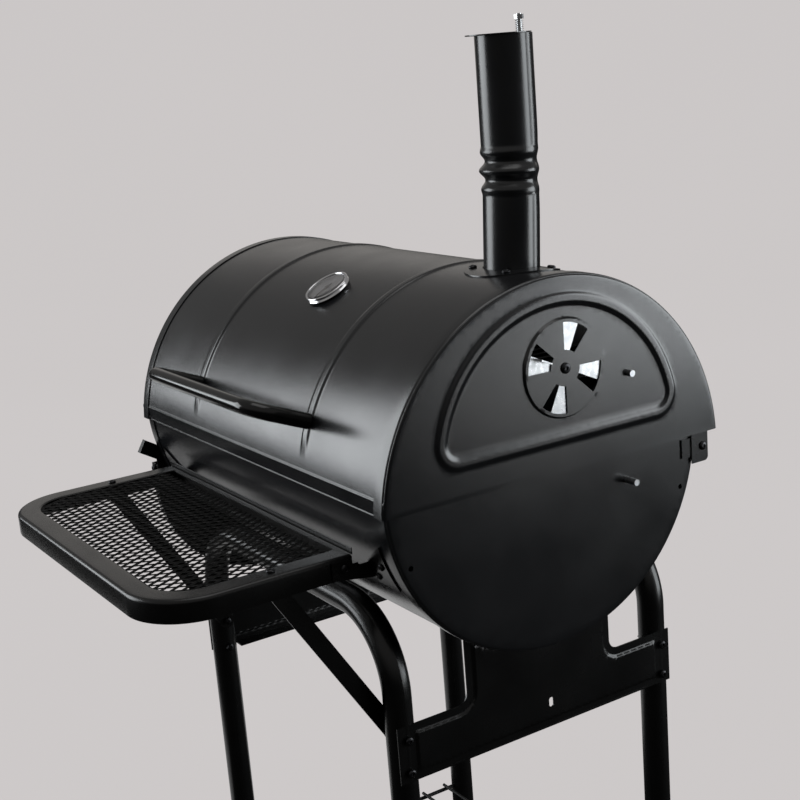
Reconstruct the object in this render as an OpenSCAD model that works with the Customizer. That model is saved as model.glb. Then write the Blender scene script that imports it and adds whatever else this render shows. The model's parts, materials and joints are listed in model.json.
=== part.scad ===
// Barrel charcoal grill on an arched tube stand: hinged lid, swing-back warming rack, front shelf.
// Millimetres, Z up. The floor is z = 0 and the shelf side faces -Y.

/* [Barrel] */
// Outside radius of the fire bowl
barrel_r = 228; // [224:1:232]
// Length of the bowl over its end caps
barrel_len = 652; // [640:2:680]
// Height of the bowl centre line above the floor
barrel_h = 820; // [800:5:850]
// Thickness of the pressed sheet
sheet_t = 1.2; // [1:0.1:1.4]

/* [Lid] */
// Outside radius of the lid
lid_r = 247.5; // [246:0.5:250]
// How far the lid arc sits behind the bowl centre
lid_back = 14; // [12:1:16]
// Distance of each raised rib from the middle of the lid
rib_x = 149; // [140:1:160]
// How far the handle's centre line stands off the lid
handle_rise = 76; // [60:2:84]

/* [Chimney] */
// Outside radius of the chimney pipe
pipe_r = 34.5; // [32:0.5:37]
// Height of the pipe above the bowl centre line
pipe_top = 480; // [450:5:520]
// Distance of the chimney from the middle of the lid
chimney_x = 234; // [228:1:240]

/* [Stand] */
// Outside radius of the leg tube
tube_r = 17.5; // [16:0.5:18]
// Distance of each pair of legs from the middle
leg_x = 245; // [240:1:250]
// Spacing from the front arch to the rear arch
arch_gap = 400; // [396:1:404]
// Centre line bend radius of the arches
arch_bend = 95; // [85:5:110]
// Radius of the wheels
wheel_r = 70; // [64:1:72]

/* [Front shelf] */
// Width of the shelf
shelf_w = 506; // [490:2:520]
// Depth of the shelf
shelf_d = 243; // [230:1:260]
// Radius of the two front corners
shelf_corner = 75; // [50:5:90]
// Depth of the folded shelf edge
shelf_skirt = 27; // [22:1:32]

/* [Side table] */
// Width of the folding table on the left end
table_w = 446; // [444:1:448]
// How far the table reaches out when it is raised
table_d = 198; // [180:2:220]
// Radius of its two outer corners
table_corner = 165; // [60:5:170]

/* [Hidden] */
$fn = 48;
fit = 0.05;
hole_gap = 0.3;
big_fn = 120;

cap_x = barrel_len / 2;
lid_x = cap_x + 5;
lid_drop = 32;
lid_edge = -14.5;
lid_y = lid_back;
lid_z = -lid_drop;
lid_arc = asin((lid_edge - lid_z) / lid_r);
lid_skin_r = lid_r - sheet_t - 0.1;
bowl_skin_r = barrel_r - sheet_t - 0.1;
cap_flange = 20;

hinge_y = lid_y + lid_r - 25.5;
hinge_z = -32;
lid_pin = [119, 83];
bowl_pin = [114, -49];
rack_pin = lid_pin + bowl_pin - [hinge_y, hinge_z];
pin_r = 4;
leg_plate_x = cap_x - 9;
link_plate_x = cap_x - 15;

vent_y = 22;
vent_z = 107;
vent_r = 58;
vent_count = 4;
vent_span = 42;
vent_inner = 21;
vent_outer = 53;
vent_depth = 3.2;
bead_y = 16;
bead_r = 182;
bead_w = 18;
bead_floor = 18;

handle_angle = 22;
handle_r = 9.5;
handle_bend = 28;
rib_t = 3.2;
handle_foot = rib_t + 0.15;
gauge_angle = 62;
gauge_x = 22;
gauge_r = 30;

lean = 3.6;
elbow = 360;
elbow_y = lid_y + elbow * sin(lean);
elbow_z = lid_z + elbow * cos(lean);
flange_r = 57;
flange_bolt = 33;
stud_back = 24;

frame_y = 16;
arch_y = arch_gap / 2;
arch_z = -sqrt(pow(barrel_r + tube_r + 4, 2) - pow(arch_y - frame_y, 2));
tube_wall = 1.5;
foot_t = 3;
panel_t = 2;
panel_x = leg_x + tube_r + 0.2;
panel_low = -369;
panel_arm = -296;
panel_half = arch_y + 14;
neck_half = 112;
bolt_z = [-315, -357];
bolt_r = 3;

axle_z = wheel_r - barrel_h;
axle_r = 5;
wheel_w = 32;
wheel_y = arch_y + tube_r + 3;
axle_half = wheel_y + wheel_w + 12;
rack_z = axle_z + 16;

shelf_z = -72;
shelf_back = -229;
shelf_front = shelf_back - shelf_d;
rim_w = 29;
back_rim = 9;
upstand = 7;
mesh_short = 28;
mesh_long = 48;
mesh_strand = 3;
brace_w = 22;
brace_plane = leg_x - tube_r - 2.2;
brace_foot = [frame_y - arch_y, bolt_z[0]];
brace_head = [shelf_back - 96, shelf_z - 15];

table_axis_x = -cap_x - 11;
table_axis_z = -96;
table_top = table_axis_z + 8;
table_skin_x = table_axis_x - 6.4;
table_skirt = 11;
table_ear_y = table_w / 2 - sheet_t - 2.3;
table_bolt = [196, -80];
mount_hole = [200, -78];
strap_tip = [-241, -57];
strap_slope = 31;

grate_z = -30;
grate_x = cap_x - 16;
pan_z = -150;

front_y = shelf_front;
rear_y = frame_y + axle_half;
mid_y = (front_y + rear_y) / 2;

black = [0.16, 0.17, 0.18];
slate = [0.30, 0.32, 0.34];
zinc = [0.75, 0.76, 0.77];

// ---- Helpers ----

// Puts shapes drawn about the bowl centre line at their place above the floor.
module placed() {
    translate([0, -mid_y, barrel_h]) children();
}

// Extrudes a profile drawn in Y and Z along X, from x0 over a length of t.
module along_x(x0, t) {
    translate([x0, 0, 0]) rotate([90, 0, 90]) linear_extrude(t) children();
}

// A sheet ring about an axis along X, from angle a0 over span; angles start at +Y and rise.
module ring_x(r_in, r_out, x0, x1, a0, span) {
    rotate([90, 0, 90]) rotate([0, 0, a0])
        rotate_extrude(angle = span, $fn = big_fn)
            translate([r_in, x0]) square([r_out - r_in, x1 - x0]);
}

module rod_x(r, x0, x1) {
    translate([x0, 0, 0]) rotate([0, 90, 0]) cylinder(h = x1 - x0, r = r);
}

module at_lid() {
    translate([0, lid_y, lid_z]) children();
}

// Local Z points out of the lid at an angle above the front.
module on_lid(angle) {
    at_lid() rotate([90 - angle, 0, 0]) children();
}

module on_chimney() {
    translate([chimney_x, lid_y, lid_z]) rotate([-lean, 0, 0]) children();
}

module both_ends() {
    children();
    mirror([1, 0, 0]) children();
}

// Pan head bolt seated on z = 0 with its nut at the far side of the grip.
module bolt(grip, r = bolt_r, head = 5.5) {
    cylinder(h = 3, r = head);
    translate([0, 0, -grip - 6]) cylinder(h = grip + 6.1, r = r);
}

module nut(grip, r = bolt_r) {
    translate([0, 0, -grip - 4.6])
        difference() {
            cylinder(h = 4.5, r = r * 1.8, $fn = 6);
            translate([0, 0, -1]) cylinder(h = 7, r = r + fit);
        }
}

module bolt_and_nut(grip, r = bolt_r, head = 5.5) {
    bolt(grip, r, head);
    nut(grip, r);
}

// A flat link with round ends a little wider than its middle, drawn between two points.
module link_profile(a, b, w) {
    d = b - a;
    middle = w - 0.6;
    translate(a) circle(d = w);
    translate(b) circle(d = w);
    translate(a) rotate(atan2(d[1], d[0])) translate([0, -middle / 2]) square([norm(d), middle]);
}

// ---- Fire bowl ----

module rim_lip(side) {
    translate([-cap_x + sheet_t, side > 0 ? bowl_skin_r - 9 : -bowl_skin_r, -sheet_t])
        cube([barrel_len - 2 * sheet_t, 9, sheet_t]);
}

module body_shell() color(slate) placed() difference() {
    union() {
        ring_x(bowl_skin_r - sheet_t, bowl_skin_r, -cap_x + sheet_t, cap_x - sheet_t, 180, 180);
        rim_lip(1);
        rim_lip(-1);
    }
    both_ends() cradle_spots() cylinder(h = 30, r = bolt_r + hole_gap, center = true);
    both_ends() bracket_spots() cylinder(h = 30, r = bolt_r + hole_gap, center = true);
}

module half_disc(r) {
    difference() {
        circle(r = r, $fn = big_fn);
        translate([-r - 1, 0]) square([2 * r + 2, r + 1]);
    }
}

// The side holes carry the table at the left end and stay empty at the right end.
module bowl_cap(side_holes) {
    difference() {
        union() {
            along_x(cap_x - sheet_t, sheet_t) half_disc(barrel_r);
            ring_x(bowl_skin_r + 0.1, barrel_r, cap_x - cap_flange, cap_x - sheet_t / 2, 180, 180);
        }
        translate([0, bowl_pin[0], bowl_pin[1]]) rod_x(pin_r + hole_gap, cap_x - 5, cap_x + 5);
        for (side = [-1, 1])
            translate([0, side * side_holes[0], side_holes[1]]) rod_x(bolt_r + hole_gap, cap_x - 5, cap_x + 5);
    }
}

module body_cap_right() color(slate) placed() bowl_cap(mount_hole);
module body_cap_left() color(slate) placed() mirror([1, 0, 0]) bowl_cap(table_bolt);

// Angle ledges leave a gap where the warming rack legs swing past.
module ledge(y0, y1) {
    translate([cap_x - 27, y0, grate_z - sheet_t]) cube([27 - sheet_t, y1 - y0, sheet_t]);
    translate([cap_x - 2 * sheet_t, y0, grate_z - 12]) cube([sheet_t, y1 - y0, 12]);
}

module grate_ledges() color(black) placed() both_ends() {
    ledge(-190, 66);
    ledge(158, 190);
}

module pan_hanger() {
    translate([cap_x - 44, -90, pan_z - 2]) cube([44 - sheet_t, 180, 2]);
    translate([cap_x - sheet_t - 2, -90, pan_z - 30]) cube([2, 180, 110]);
}

module pan_hangers() color(black) placed() both_ends() pan_hanger();

module rack_stud(pin, x_in, x_wall, x_out) {
    translate([0, pin[0], pin[1]]) {
        rod_x(pin_r, x_in, x_out);
        rod_x(pin_r + 3, x_wall - sheet_t - 2, x_wall - sheet_t);
    }
}

module rack_body_studs() color(zinc) placed() both_ends()
    rack_stud(bowl_pin, cap_x - 11.5, cap_x, cap_x + 18);

// ---- Lid hinge ----

module at_hinge() {
    translate([0, hinge_y, hinge_z]) children();
}

// Welded to the cap; the lid's ear hangs in front of it.
module hinge_bracket() {
    difference() {
        along_x(cap_x + 0.1, 2) translate([hinge_y - 33, hinge_z - 11]) square([43, 24]);
        at_hinge() rod_x(bolt_r + fit, cap_x - 5, cap_x + 5);
    }
}

module hinge_bracket_right() color(black) placed() hinge_bracket();
module hinge_bracket_left() color(black) placed() mirror([1, 0, 0]) hinge_bracket();

module hinge_bolts() color(zinc) placed() both_ends()
    at_hinge() translate([cap_x + 3.9, 0, 0]) rotate([0, 90, 0]) bolt_and_nut(3.8);

// ---- Stand ----

// An inverted U bent from round bar in the X-Z plane, legs at x = half and -half.
module hoop(r, half, top, bend, low_right, low_left) {
    translate([half, 0, low_right]) cylinder(h = top - bend - low_right, r = r);
    translate([-half, 0, low_left]) cylinder(h = top - bend - low_left, r = r);
    translate([0, 0, top]) rod_x(r, bend - half, half - bend);
    both_ends() translate([half - bend, 0, top - bend])
        rotate([90, 0, 0]) rotate_extrude(angle = 90) translate([bend, 0]) circle(r = r);
}

module leg_cut(side, z, r) {
    translate([side * leg_x, 0, z]) rod_x(r, -tube_r - 1, tube_r + 1);
}

// The right legs stop short for the wheels; toward is the side the rack and the other arch lie on.
module arch_tube(toward) {
    translate([0, frame_y - toward * arch_y, 0]) difference() {
        hoop(tube_r, leg_x, arch_z, arch_bend, axle_z - 28, foot_t - barrel_h);
        hoop(tube_r - tube_wall, leg_x, arch_z, arch_bend, axle_z - 29, foot_t - barrel_h - 1);
        for (side = [-1, 1])
            for (z = bolt_z)
                leg_cut(side, z, bolt_r + hole_gap);
        for (side = [-1, 1])
            translate([side * leg_x, toward * tube_r, rack_z])
                rotate([90, 0, 0]) cylinder(h = 8, r = 3.5, center = true);
        translate([leg_x, 0, axle_z])
            rotate([90, 0, 0]) cylinder(h = 60, r = axle_r + fit, center = true);
    }
}

module front_arch_tube() color(black) placed() arch_tube(1);
module rear_arch_tube() color(black) placed() arch_tube(-1);

module fillet(r) {
    difference() {
        square(r);
        translate([r, r]) circle(r = r);
    }
}

module panel_profile() {
    difference() {
        union() {
            translate([frame_y - panel_half, panel_low])
                square([2 * panel_half, panel_arm - panel_low]);
            translate([frame_y - neck_half, panel_low]) square([2 * neck_half, 220]);
            translate([frame_y + neck_half, panel_arm]) fillet(14);
            translate([frame_y - neck_half, panel_arm]) mirror([1, 0]) fillet(14);
        }
        circle(r = bowl_skin_r + 0.5, $fn = big_fn);
        for (y = [-arch_y, arch_y])
            for (z = bolt_z)
                translate([frame_y + y, z]) circle(r = bolt_r + hole_gap);
        translate([frame_y + 12, -335]) square([7, 6], center = true);
        for (z = [-338, -332])
            translate([frame_y + 12, z]) circle(r = 3.5);
    }
}

// Bolts through the cradle flange point out of the bowl.
module cradle_spots() {
    for (a = [257, 275, 293])
        rotate([a - 90, 0, 0]) translate([panel_x - 12, 0, bowl_skin_r]) children();
}

module end_panel() {
    difference() {
        union() {
            along_x(panel_x, panel_t) panel_profile();
            ring_x(bowl_skin_r + 0.1, bowl_skin_r + 2.1, panel_x - 24, panel_x + 1.5, 248, 53);
            translate([panel_x - 20, frame_y - arch_y + tube_r + 8, panel_low + 0.3])
                cube([21.5, arch_gap - 2 * tube_r - 16, panel_t]);
        }
        cradle_spots() cylinder(h = 12, r = bolt_r + hole_gap, center = true);
    }
}

module right_end_panel() color(black) placed() end_panel();
module left_end_panel() color(black) placed() mirror([1, 0, 0]) end_panel();

// The upper front bolt is longer: it also holds the shelf brace on the inside of the leg.
module leg_bolt(y, z) {
    grip = panel_t + 2 * tube_r + 0.4 + (y < 0 && z == bolt_z[0] ? 2.1 : 0);
    translate([panel_x + panel_t + 0.05, frame_y + y, z]) rotate([0, 90, 0]) bolt_and_nut(grip);
}

module panel_bolts() color(zinc) placed() both_ends()
    for (y = [-arch_y, arch_y])
        for (z = bolt_z)
            leg_bolt(y, z);

module cradle_bolts() color(zinc) placed() both_ends()
    cradle_spots() translate([0, 0, 2.2]) bolt_and_nut(3.5, bolt_r, 5);

// Eight-sided wire along X or Y.
module wire_x(r, x0, x1, y, z) {
    translate([x0, y, z]) rotate([0, 90, 0]) rotate(22.5) cylinder(h = x1 - x0, r = r, $fn = 8);
}

module wire_y(r, y0, y1, x, z) {
    translate([x, y1, z]) rotate([90, 0, 0]) rotate(22.5) cylinder(h = y1 - y0, r = r, $fn = 8);
}

module bottom_rack() color(black) placed() {
    reach = arch_y - tube_r + 5;
    for (x = [-leg_x, leg_x])
        wire_y(3, frame_y - reach, frame_y + reach, x, rack_z);
    for (y = [-168 : 42 : 168])
        wire_x(2.5, -leg_x - 8, leg_x + 8, frame_y + y, rack_z + 4);
}

module foot_cap() {
    difference() {
        cylinder(h = 26, r = tube_r + 2.5);
        translate([0, 0, foot_t]) cylinder(h = 30, r = tube_r + 0.1);
    }
}

module foot_caps() color(black) placed()
    for (y = [-arch_y, arch_y])
        translate([-leg_x, frame_y + y, -barrel_h]) foot_cap();

module leg_plugs() color(black) placed()
    for (y = [-arch_y, arch_y])
        translate([leg_x, frame_y + y, axle_z - 28.1]) {
            translate([0, 0, -2.5]) cylinder(h = 2.5, r = tube_r);
            cylinder(h = 12, r = tube_r - tube_wall - 0.1);
        }

module at_axle() {
    translate([leg_x, frame_y, axle_z]) rotate([90, 0, 0]) children();
}

module wheel_axle() color(zinc) placed() at_axle() cylinder(h = 2 * axle_half, r = axle_r, center = true);

module axle_nuts() color(zinc) placed() at_axle()
    for (side = [0, 180])
        rotate([side, 0, 0]) {
            translate([0, 0, wheel_y + wheel_w + 0.3]) difference() {
                cylinder(h = 8, r = 9, $fn = 6);
                translate([0, 0, -1]) cylinder(h = 12, r = axle_r + fit);
            }
            translate([0, 0, arch_y + tube_r + 0.1]) difference() {
                cylinder(h = 2.6, r = 10);
                translate([0, 0, -1]) cylinder(h = 6, r = axle_r + fit);
            }
        }

module wheel() {
    rotate_extrude($fn = 72) {
        translate([axle_r + fit, 0]) square([10, wheel_w]);
        translate([14, wheel_w / 2 - 3]) square([wheel_r - 26, 6]);
        translate([wheel_r - 14, 2]) square([12, wheel_w - 4]);
        translate([wheel_r - 3, 5]) square([3, wheel_w - 10]);
    }
}

module wheel_front() color(black) placed() at_axle() translate([0, 0, wheel_y]) wheel();
module wheel_rear() color(black) placed() at_axle() rotate([180, 0, 0]) translate([0, 0, wheel_y]) wheel();

// ---- Front shelf ----

// The back edge can be cut back by a different amount from the sides and front.
module shelf_outline(inset, back) {
    half = shelf_w / 2 - inset;
    r = max(shelf_corner - inset, 2);
    depth = shelf_d - inset - back;
    translate([-half, shelf_front + inset + r]) square([2 * half, depth - r]);
    translate([r - half, shelf_front + inset]) square([2 * (half - r), depth]);
    for (side = [-1, 1])
        translate([side * (half - r), shelf_front + inset + r]) circle(r = r);
}

// A pressed tray edge with a narrow strip turned up along the bowl.
module shelf_rim() color(black) placed() difference() {
    union() {
        translate([0, 0, shelf_z - shelf_skirt]) linear_extrude(shelf_skirt) shelf_outline(0, 0);
        translate([2 - shelf_w / 2, shelf_back - 0.2 - sheet_t, shelf_z - 1])
            cube([shelf_w - 4, sheet_t, upstand + 1]);
    }
    translate([0, 0, shelf_z - shelf_skirt - 1]) linear_extrude(shelf_skirt - 0.5) shelf_outline(1.5, 1.5);
    translate([0, 0, shelf_z - 5]) linear_extrude(10) shelf_outline(rim_w, back_rim);
    both_ends() translate([shelf_w / 2, shelf_back - 14, shelf_z - 14]) rod_x(bolt_r + hole_gap, -8, 8);
    both_ends() brace_tab_spot() cylinder(h = 20, r = bolt_r + hole_gap, center = true);
}

module diamonds() {
    a = mesh_short / 2 - mesh_strand * 0.6;
    b = mesh_long / 2 - mesh_strand;
    for (i = [-9 : 9])
        for (j = [-3 : 3])
            for (half = [0, 0.5])
                translate([(i + half) * mesh_short, shelf_back - shelf_d / 2 + (j + half) * mesh_long])
                    polygon([[a, 0], [0, b], [-a, 0], [0, -b]]);
}

module shelf_mesh() color(black) placed() translate([0, 0, shelf_z - 3.1]) linear_extrude(1.5) difference() {
    shelf_outline(rim_w - 7, back_rim - 5);
    intersection() {
        diamonds();
        shelf_outline(rim_w + 1, back_rim + 1);
    }
}

// Bolts that hold the shelf bracket on the bowl point out of it.
module bracket_spots() {
    for (a = [[201.5, 32], [206.5, 12]])
        rotate([a[0] - 90, 0, 0]) translate([shelf_w / 2 + a[1], 0, bowl_skin_r]) children();
}

module bracket_profile() {
    difference() {
        polygon([
            [shelf_back - 30, shelf_z - 4], [shelf_back - 30, shelf_z - 25],
            [shelf_back + 28, shelf_z - 34], [shelf_back + 28, shelf_z - 14],
            [shelf_back + 5, shelf_z - 14], [shelf_back + 1, shelf_z - 4]
        ]);
        circle(r = bowl_skin_r + 0.5, $fn = big_fn);
        translate([shelf_back - 14, shelf_z - 14]) circle(r = bolt_r + hole_gap);
    }
}

// A side arm and a flange that lies on the bowl, cut off aslant above the arm.
module shelf_bracket() {
    difference() {
        union() {
            along_x(shelf_w / 2 + 0.1, 2) bracket_profile();
            ring_x(bowl_skin_r + 0.1, bowl_skin_r + 2.1, shelf_w / 2 + 0.4, shelf_w / 2 + 43, 194, 16);
        }
        translate([shelf_w / 2 - 10, -barrel_r - 5, shelf_z - 18]) rotate([0, -33, 0]) cube([80, 60, 40]);
        bracket_spots() cylinder(h = 12, r = bolt_r + hole_gap, center = true);
    }
}

module shelf_bracket_right() color(black) placed() shelf_bracket();
module shelf_bracket_left() color(black) placed() mirror([1, 0, 0]) shelf_bracket();

module shelf_bolts() color(zinc) placed() both_ends() {
    bracket_spots() translate([0, 0, 2.2]) bolt_and_nut(3.5, bolt_r, 4.5);
    translate([shelf_w / 2 + 2.15, shelf_back - 14, shelf_z - 14]) rotate([0, 90, 0]) bolt_and_nut(3.7);
}

module brace_tab_spot() {
    translate([brace_plane + 10, brace_head[0], shelf_z]) children();
}

// A flat strap with a tab turned under the shelf rim.
module shelf_brace() {
    difference() {
        union() {
            along_x(brace_plane, 2) link_profile(brace_foot, brace_head, brace_w);
            translate([brace_plane + 0.2, brace_head[0] - 10, shelf_z - 5.3]) cube([21, 20, 2]);
            translate([brace_plane + 0.2, brace_head[0] - 9, brace_head[1]]) cube([1.6, 18, 11]);
        }
        brace_tab_spot() cylinder(h = 20, r = bolt_r + hole_gap, center = true);
        translate([0, brace_foot[0], brace_foot[1]])
            rod_x(bolt_r + hole_gap, brace_plane - 1, brace_plane + 3);
    }
}

module shelf_brace_right() color(black) placed() shelf_brace();
module shelf_brace_left() color(black) placed() mirror([1, 0, 0]) shelf_brace();

module brace_bolts() color(zinc) placed() both_ends()
    brace_tab_spot() translate([0, 0, 0.05]) bolt_and_nut(5.4, bolt_r, 5);

// ---- Folding side table ----

// The table as it hangs, drawn in Y and Z.
module table_outline(inset, top) {
    half = table_w / 2 - inset;
    r = table_corner - inset;
    low = table_top - table_d + inset;
    translate([-half, low + r]) square([2 * half, top - low - r]);
    translate([r - half, low]) square([2 * (half - r), top - low]);
    for (side = [-1, 1])
        translate([side * (half - r), low + r]) intersection() {
            circle(r = r, $fn = big_fn);
            translate([-r, -r]) square([2 * r, r]);
        }
}

module at_table_axis() {
    translate([table_axis_x, 0, table_axis_z]) children();
}

module side_table() color(slate) placed() difference() {
    along_x(table_skin_x, table_skirt) table_outline(0, table_top);
    along_x(table_skin_x + sheet_t, table_skirt) table_outline(sheet_t, table_top + 5);
    at_table_axis() rotate([90, 0, 0]) cylinder(h = table_w + 10, r = 2.5 + fit, center = true);
}

module table_ear() {
    at_table_axis() translate([0, -table_ear_y - 2, 0]) rotate([-90, 0, 0]) difference() {
        union() {
            cylinder(h = 2, r = 4.8);
            translate([0, -4.6, 0]) cube([-cap_x - 0.1 - table_axis_x, 9.2, 2]);
        }
        translate([0, 0, -1]) cylinder(h = 4, r = 2.5 + fit);
    }
}

module table_plate() {
    difference() {
        translate([-cap_x - 2.1, -table_ear_y - 2, table_axis_z - 7]) cube([2, 36, 40]);
        translate([0, -table_bolt[0], table_bolt[1]]) rod_x(bolt_r + hole_gap, -cap_x - 5, -cap_x + 5);
    }
}

// The front bracket runs on as a strap with a turned end.
module table_strap() {
    translate([0, strap_tip[0], strap_tip[1]]) rotate([-strap_slope, 0, 0]) {
        translate([-cap_x - 2.1, 0, -10]) cube([2, 32, 20]);
        translate([-cap_x - 9, 0, -10]) cube([7.5, 2, 20]);
    }
}

module side_table_brackets() color(black) placed() {
    table_strap();
    for (side = [0, 1])
        mirror([0, side, 0]) {
            table_plate();
            table_ear();
        }
}

module side_table_bolts() color(zinc) placed()
    for (side = [0, 1])
        mirror([0, side, 0]) {
            translate([-cap_x - 2.15, -table_bolt[0], table_bolt[1]]) rotate([0, -90, 0]) bolt_and_nut(3.4);
            translate([table_axis_x, -table_w / 2 - 0.05, table_axis_z])
                rotate([90, 0, 0]) bolt_and_nut(3.6, 2.5, 5);
        }

// ---- Inside the bowl ----

module pan_slots() {
    for (x = [-260 : 40 : 260])
        for (y = [-95, 5])
            translate([x - 4, y, -1]) cube([8, 90, 4]);
}

module charcoal_pan() color(black) placed() translate([0, 0, pan_z + 0.05]) difference() {
    translate([-cap_x + 26, -120, 0]) cube([barrel_len - 52, 240, 28]);
    translate([-cap_x + 27.2, -118.8, sheet_t]) cube([barrel_len - 54.4, 237.6, 30]);
    pan_slots();
}

module cooking_grate() {
    y_end = 204;
    for (x = [6, grate_x - 4])
        wire_y(3, -y_end, y_end, x, grate_z + 3);
    for (y = [3 - y_end, y_end - 3])
        wire_x(3, 3, grate_x - 1, y, grate_z + 3);
    for (x = [22 : 16 : grate_x - 12])
        wire_y(2.5, -y_end, y_end, x, grate_z + 4);
}

module cooking_grate_right() color(black) placed() cooking_grate();
module cooking_grate_left() color(black) placed() mirror([1, 0, 0]) cooking_grate();

module grate_crossbar() color(black) placed()
    translate([-14, -221, grate_z - 4]) cube([28, 442, 3.9]);

// ---- Lid ----

module rib_profile(x) {
    translate([lid_skin_r - 0.2, x])
        polygon([[0, -9], [rib_t - 0.8, -5], [rib_t, 0], [rib_t - 0.8, 5], [0, 9]]);
}

module lid_sheet() {
    rotate([90, 0, 90]) rotate([0, 0, lid_arc]) rotate_extrude(angle = 180 - 2 * lid_arc, $fn = big_fn) {
        translate([lid_skin_r - sheet_t, sheet_t - lid_x]) square([sheet_t, 2 * (lid_x - sheet_t)]);
        rib_profile(rib_x);
        rib_profile(-rib_x);
    }
}

module handle_spots() {
    for (side = [-1, 1])
        on_lid(handle_angle) translate([side * rib_x, 0, lid_skin_r]) children();
}

// The four flange screws stand square to the curved lid.
module flange_spots() {
    for (side = [-1, 1])
        for (end = [-1, 1])
            on_lid(90 + lean + side * asin(flange_bolt / lid_r))
                translate([chimney_x + end * flange_bolt, 0, lid_skin_r]) children();
}

module lid_shell() color(slate) placed() difference() {
    at_lid() lid_sheet();
    handle_spots() cylinder(h = 12, r = 2.9, center = true);
    at_gauge() cylinder(h = 20, r = 6.4, center = true);
    on_chimney() translate([0, 0, lid_skin_r - 20]) cylinder(h = 40, r = pipe_r - 2);
    flange_spots() cylinder(h = 12, r = bolt_r + hole_gap, center = true);
}

module lid_face(r) {
    difference() {
        translate([lid_y, lid_z]) circle(r = r, $fn = big_fn);
        translate([lid_y - r - 1, lid_z - r - 1]) square([2 * r + 2, r + 1 + lid_edge - lid_z]);
    }
}

module d_face(r, floor_z) {
    difference() {
        translate([bead_y, bead_floor - 4]) circle(r = r, $fn = big_fn);
        translate([bead_y - r - 1, -r]) square([2 * r + 2, r + floor_z]);
    }
}

module sector(r_in, r_out, clock, span) {
    a = 90 - clock;
    intersection() {
        difference() {
            circle(r = r_out);
            circle(r = r_in);
        }
        polygon([
            [0, 0],
            2 * r_out * [cos(a - span / 2), sin(a - span / 2)],
            2 * r_out * [cos(a + span / 2), sin(a + span / 2)]
        ]);
    }
}

module vent_holes(turn) {
    for (i = [0 : vent_count - 1])
        sector(vent_inner, vent_outer, 21 + turn + i * 360 / vent_count, vent_span);
}

module at_vent(x) {
    translate([x, vent_y, vent_z]) children();
}

module lid_cap(vent) {
    difference() {
        union() {
            along_x(lid_x - sheet_t, sheet_t) lid_face(lid_r);
            at_lid() ring_x(lid_skin_r + 0.1, lid_r - 0.1, lid_x - cap_flange, lid_x - sheet_t / 2,
                            lid_arc + 0.3, 179.4 - 2 * lid_arc);
            along_x(lid_x - 0.2, 3.4) difference() {
                d_face(bead_r, bead_floor);
                d_face(bead_r - bead_w, bead_floor + 12);
            }
            if (vent) at_vent(lid_x - sheet_t) rod_x(vent_r, 0, vent_depth + sheet_t);
        }
        translate([0, lid_pin[0], lid_pin[1]]) rod_x(pin_r + hole_gap, lid_x - 5, lid_x + 5);
        if (vent) {
            at_vent(lid_x - sheet_t) rod_x(vent_r - sheet_t, -1, vent_depth);
            translate([0, vent_y, vent_z]) along_x(lid_x - 1, 8) vent_holes(0);
            at_vent(lid_x) rod_x(bolt_r + fit, -5, 8);
        }
    }
}

module lid_cap_right() color(slate) placed() lid_cap(true);
module lid_cap_left() color(slate) placed() mirror([1, 0, 0]) lid_cap(false);

// Ears welded inside the lid caps turn on the hinge bolts.
module lid_hinge_ears() color(black) placed() both_ends() difference() {
    along_x(lid_x - sheet_t - 1.4, 1.4) difference() {
        translate([hinge_y - 18, hinge_z - 20]) square([27, 60]);
        translate([hinge_y + 9.1, hinge_z - 20.1]) mirror([1, 0]) fillet(6);
    }
    at_hinge() rod_x(bolt_r + fit, cap_x - 5, cap_x + 9);
}

module lid_rack_studs() color(zinc) placed() both_ends()
    rack_stud(lid_pin, cap_x - 18, lid_x, lid_x + 7);

module vent_shutter() color(zinc) placed() {
    x0 = lid_x + 0.5;
    difference() {
        at_vent(x0) rod_x(vent_r - sheet_t - 0.8, 0, 1);
        translate([0, vent_y, vent_z]) along_x(x0 - 1, 4) vent_holes(25);
        at_vent(lid_x) rod_x(bolt_r + fit, -5, 8);
    }
    translate([0, vent_y, vent_z]) along_x(x0 + 0.5, 12) sector(28, 44, 293, 3);
}

module vent_bolt() color(black) placed()
    at_vent(lid_x + vent_depth + 0.05) rotate([0, 90, 0]) bolt_and_nut(vent_depth - 0.3, bolt_r, 6.5);

module handle() color(black) placed() difference() {
    on_lid(handle_angle)
        hoop(handle_r, rib_x, lid_skin_r + handle_rise, handle_bend,
            lid_skin_r + handle_foot, lid_skin_r + handle_foot);
    handle_spots() translate([0, 0, -2]) cylinder(h = 22, r = 2.55);
}

module handle_screws() color(zinc) placed()
    handle_spots() translate([0, 0, -sheet_t - 0.3]) rotate([180, 0, 0]) bolt(14, 2.5, 5);

// ---- Lid thermometer ----

module at_gauge() {
    on_lid(gauge_angle) translate([gauge_x, 0, lid_skin_r]) children();
}

module thermometer_case() color(zinc) placed() at_gauge() {
    rotate_extrude() {
        translate([0, -12]) square([6, 14]);
        translate([0, 1.4]) square([gauge_r, 1.8]);
        translate([gauge_r - 2.5, 1.4]) square([2.5, 6.8]);
    }
    translate([0, 0, -70]) cylinder(h = 60, r = 3);
}

module thermometer_dial() color(slate) placed() at_gauge() {
    translate([0, 0, 3.3]) cylinder(h = 0.8, r = gauge_r - 3);
    translate([0, 0, 3.5]) cylinder(h = 2.4, r = 1);
}

module thermometer_needle() color(black) placed() at_gauge() translate([0, 0, 4.6]) difference() {
    union() {
        cylinder(h = 0.8, r = 3);
        linear_extrude(0.8) polygon([[-1.6, 8], [1.6, 8], [0.4, -21], [-0.4, -21]]);
    }
    translate([0, 0, -1]) cylinder(h = 3, r = 1 + fit);
}

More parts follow.
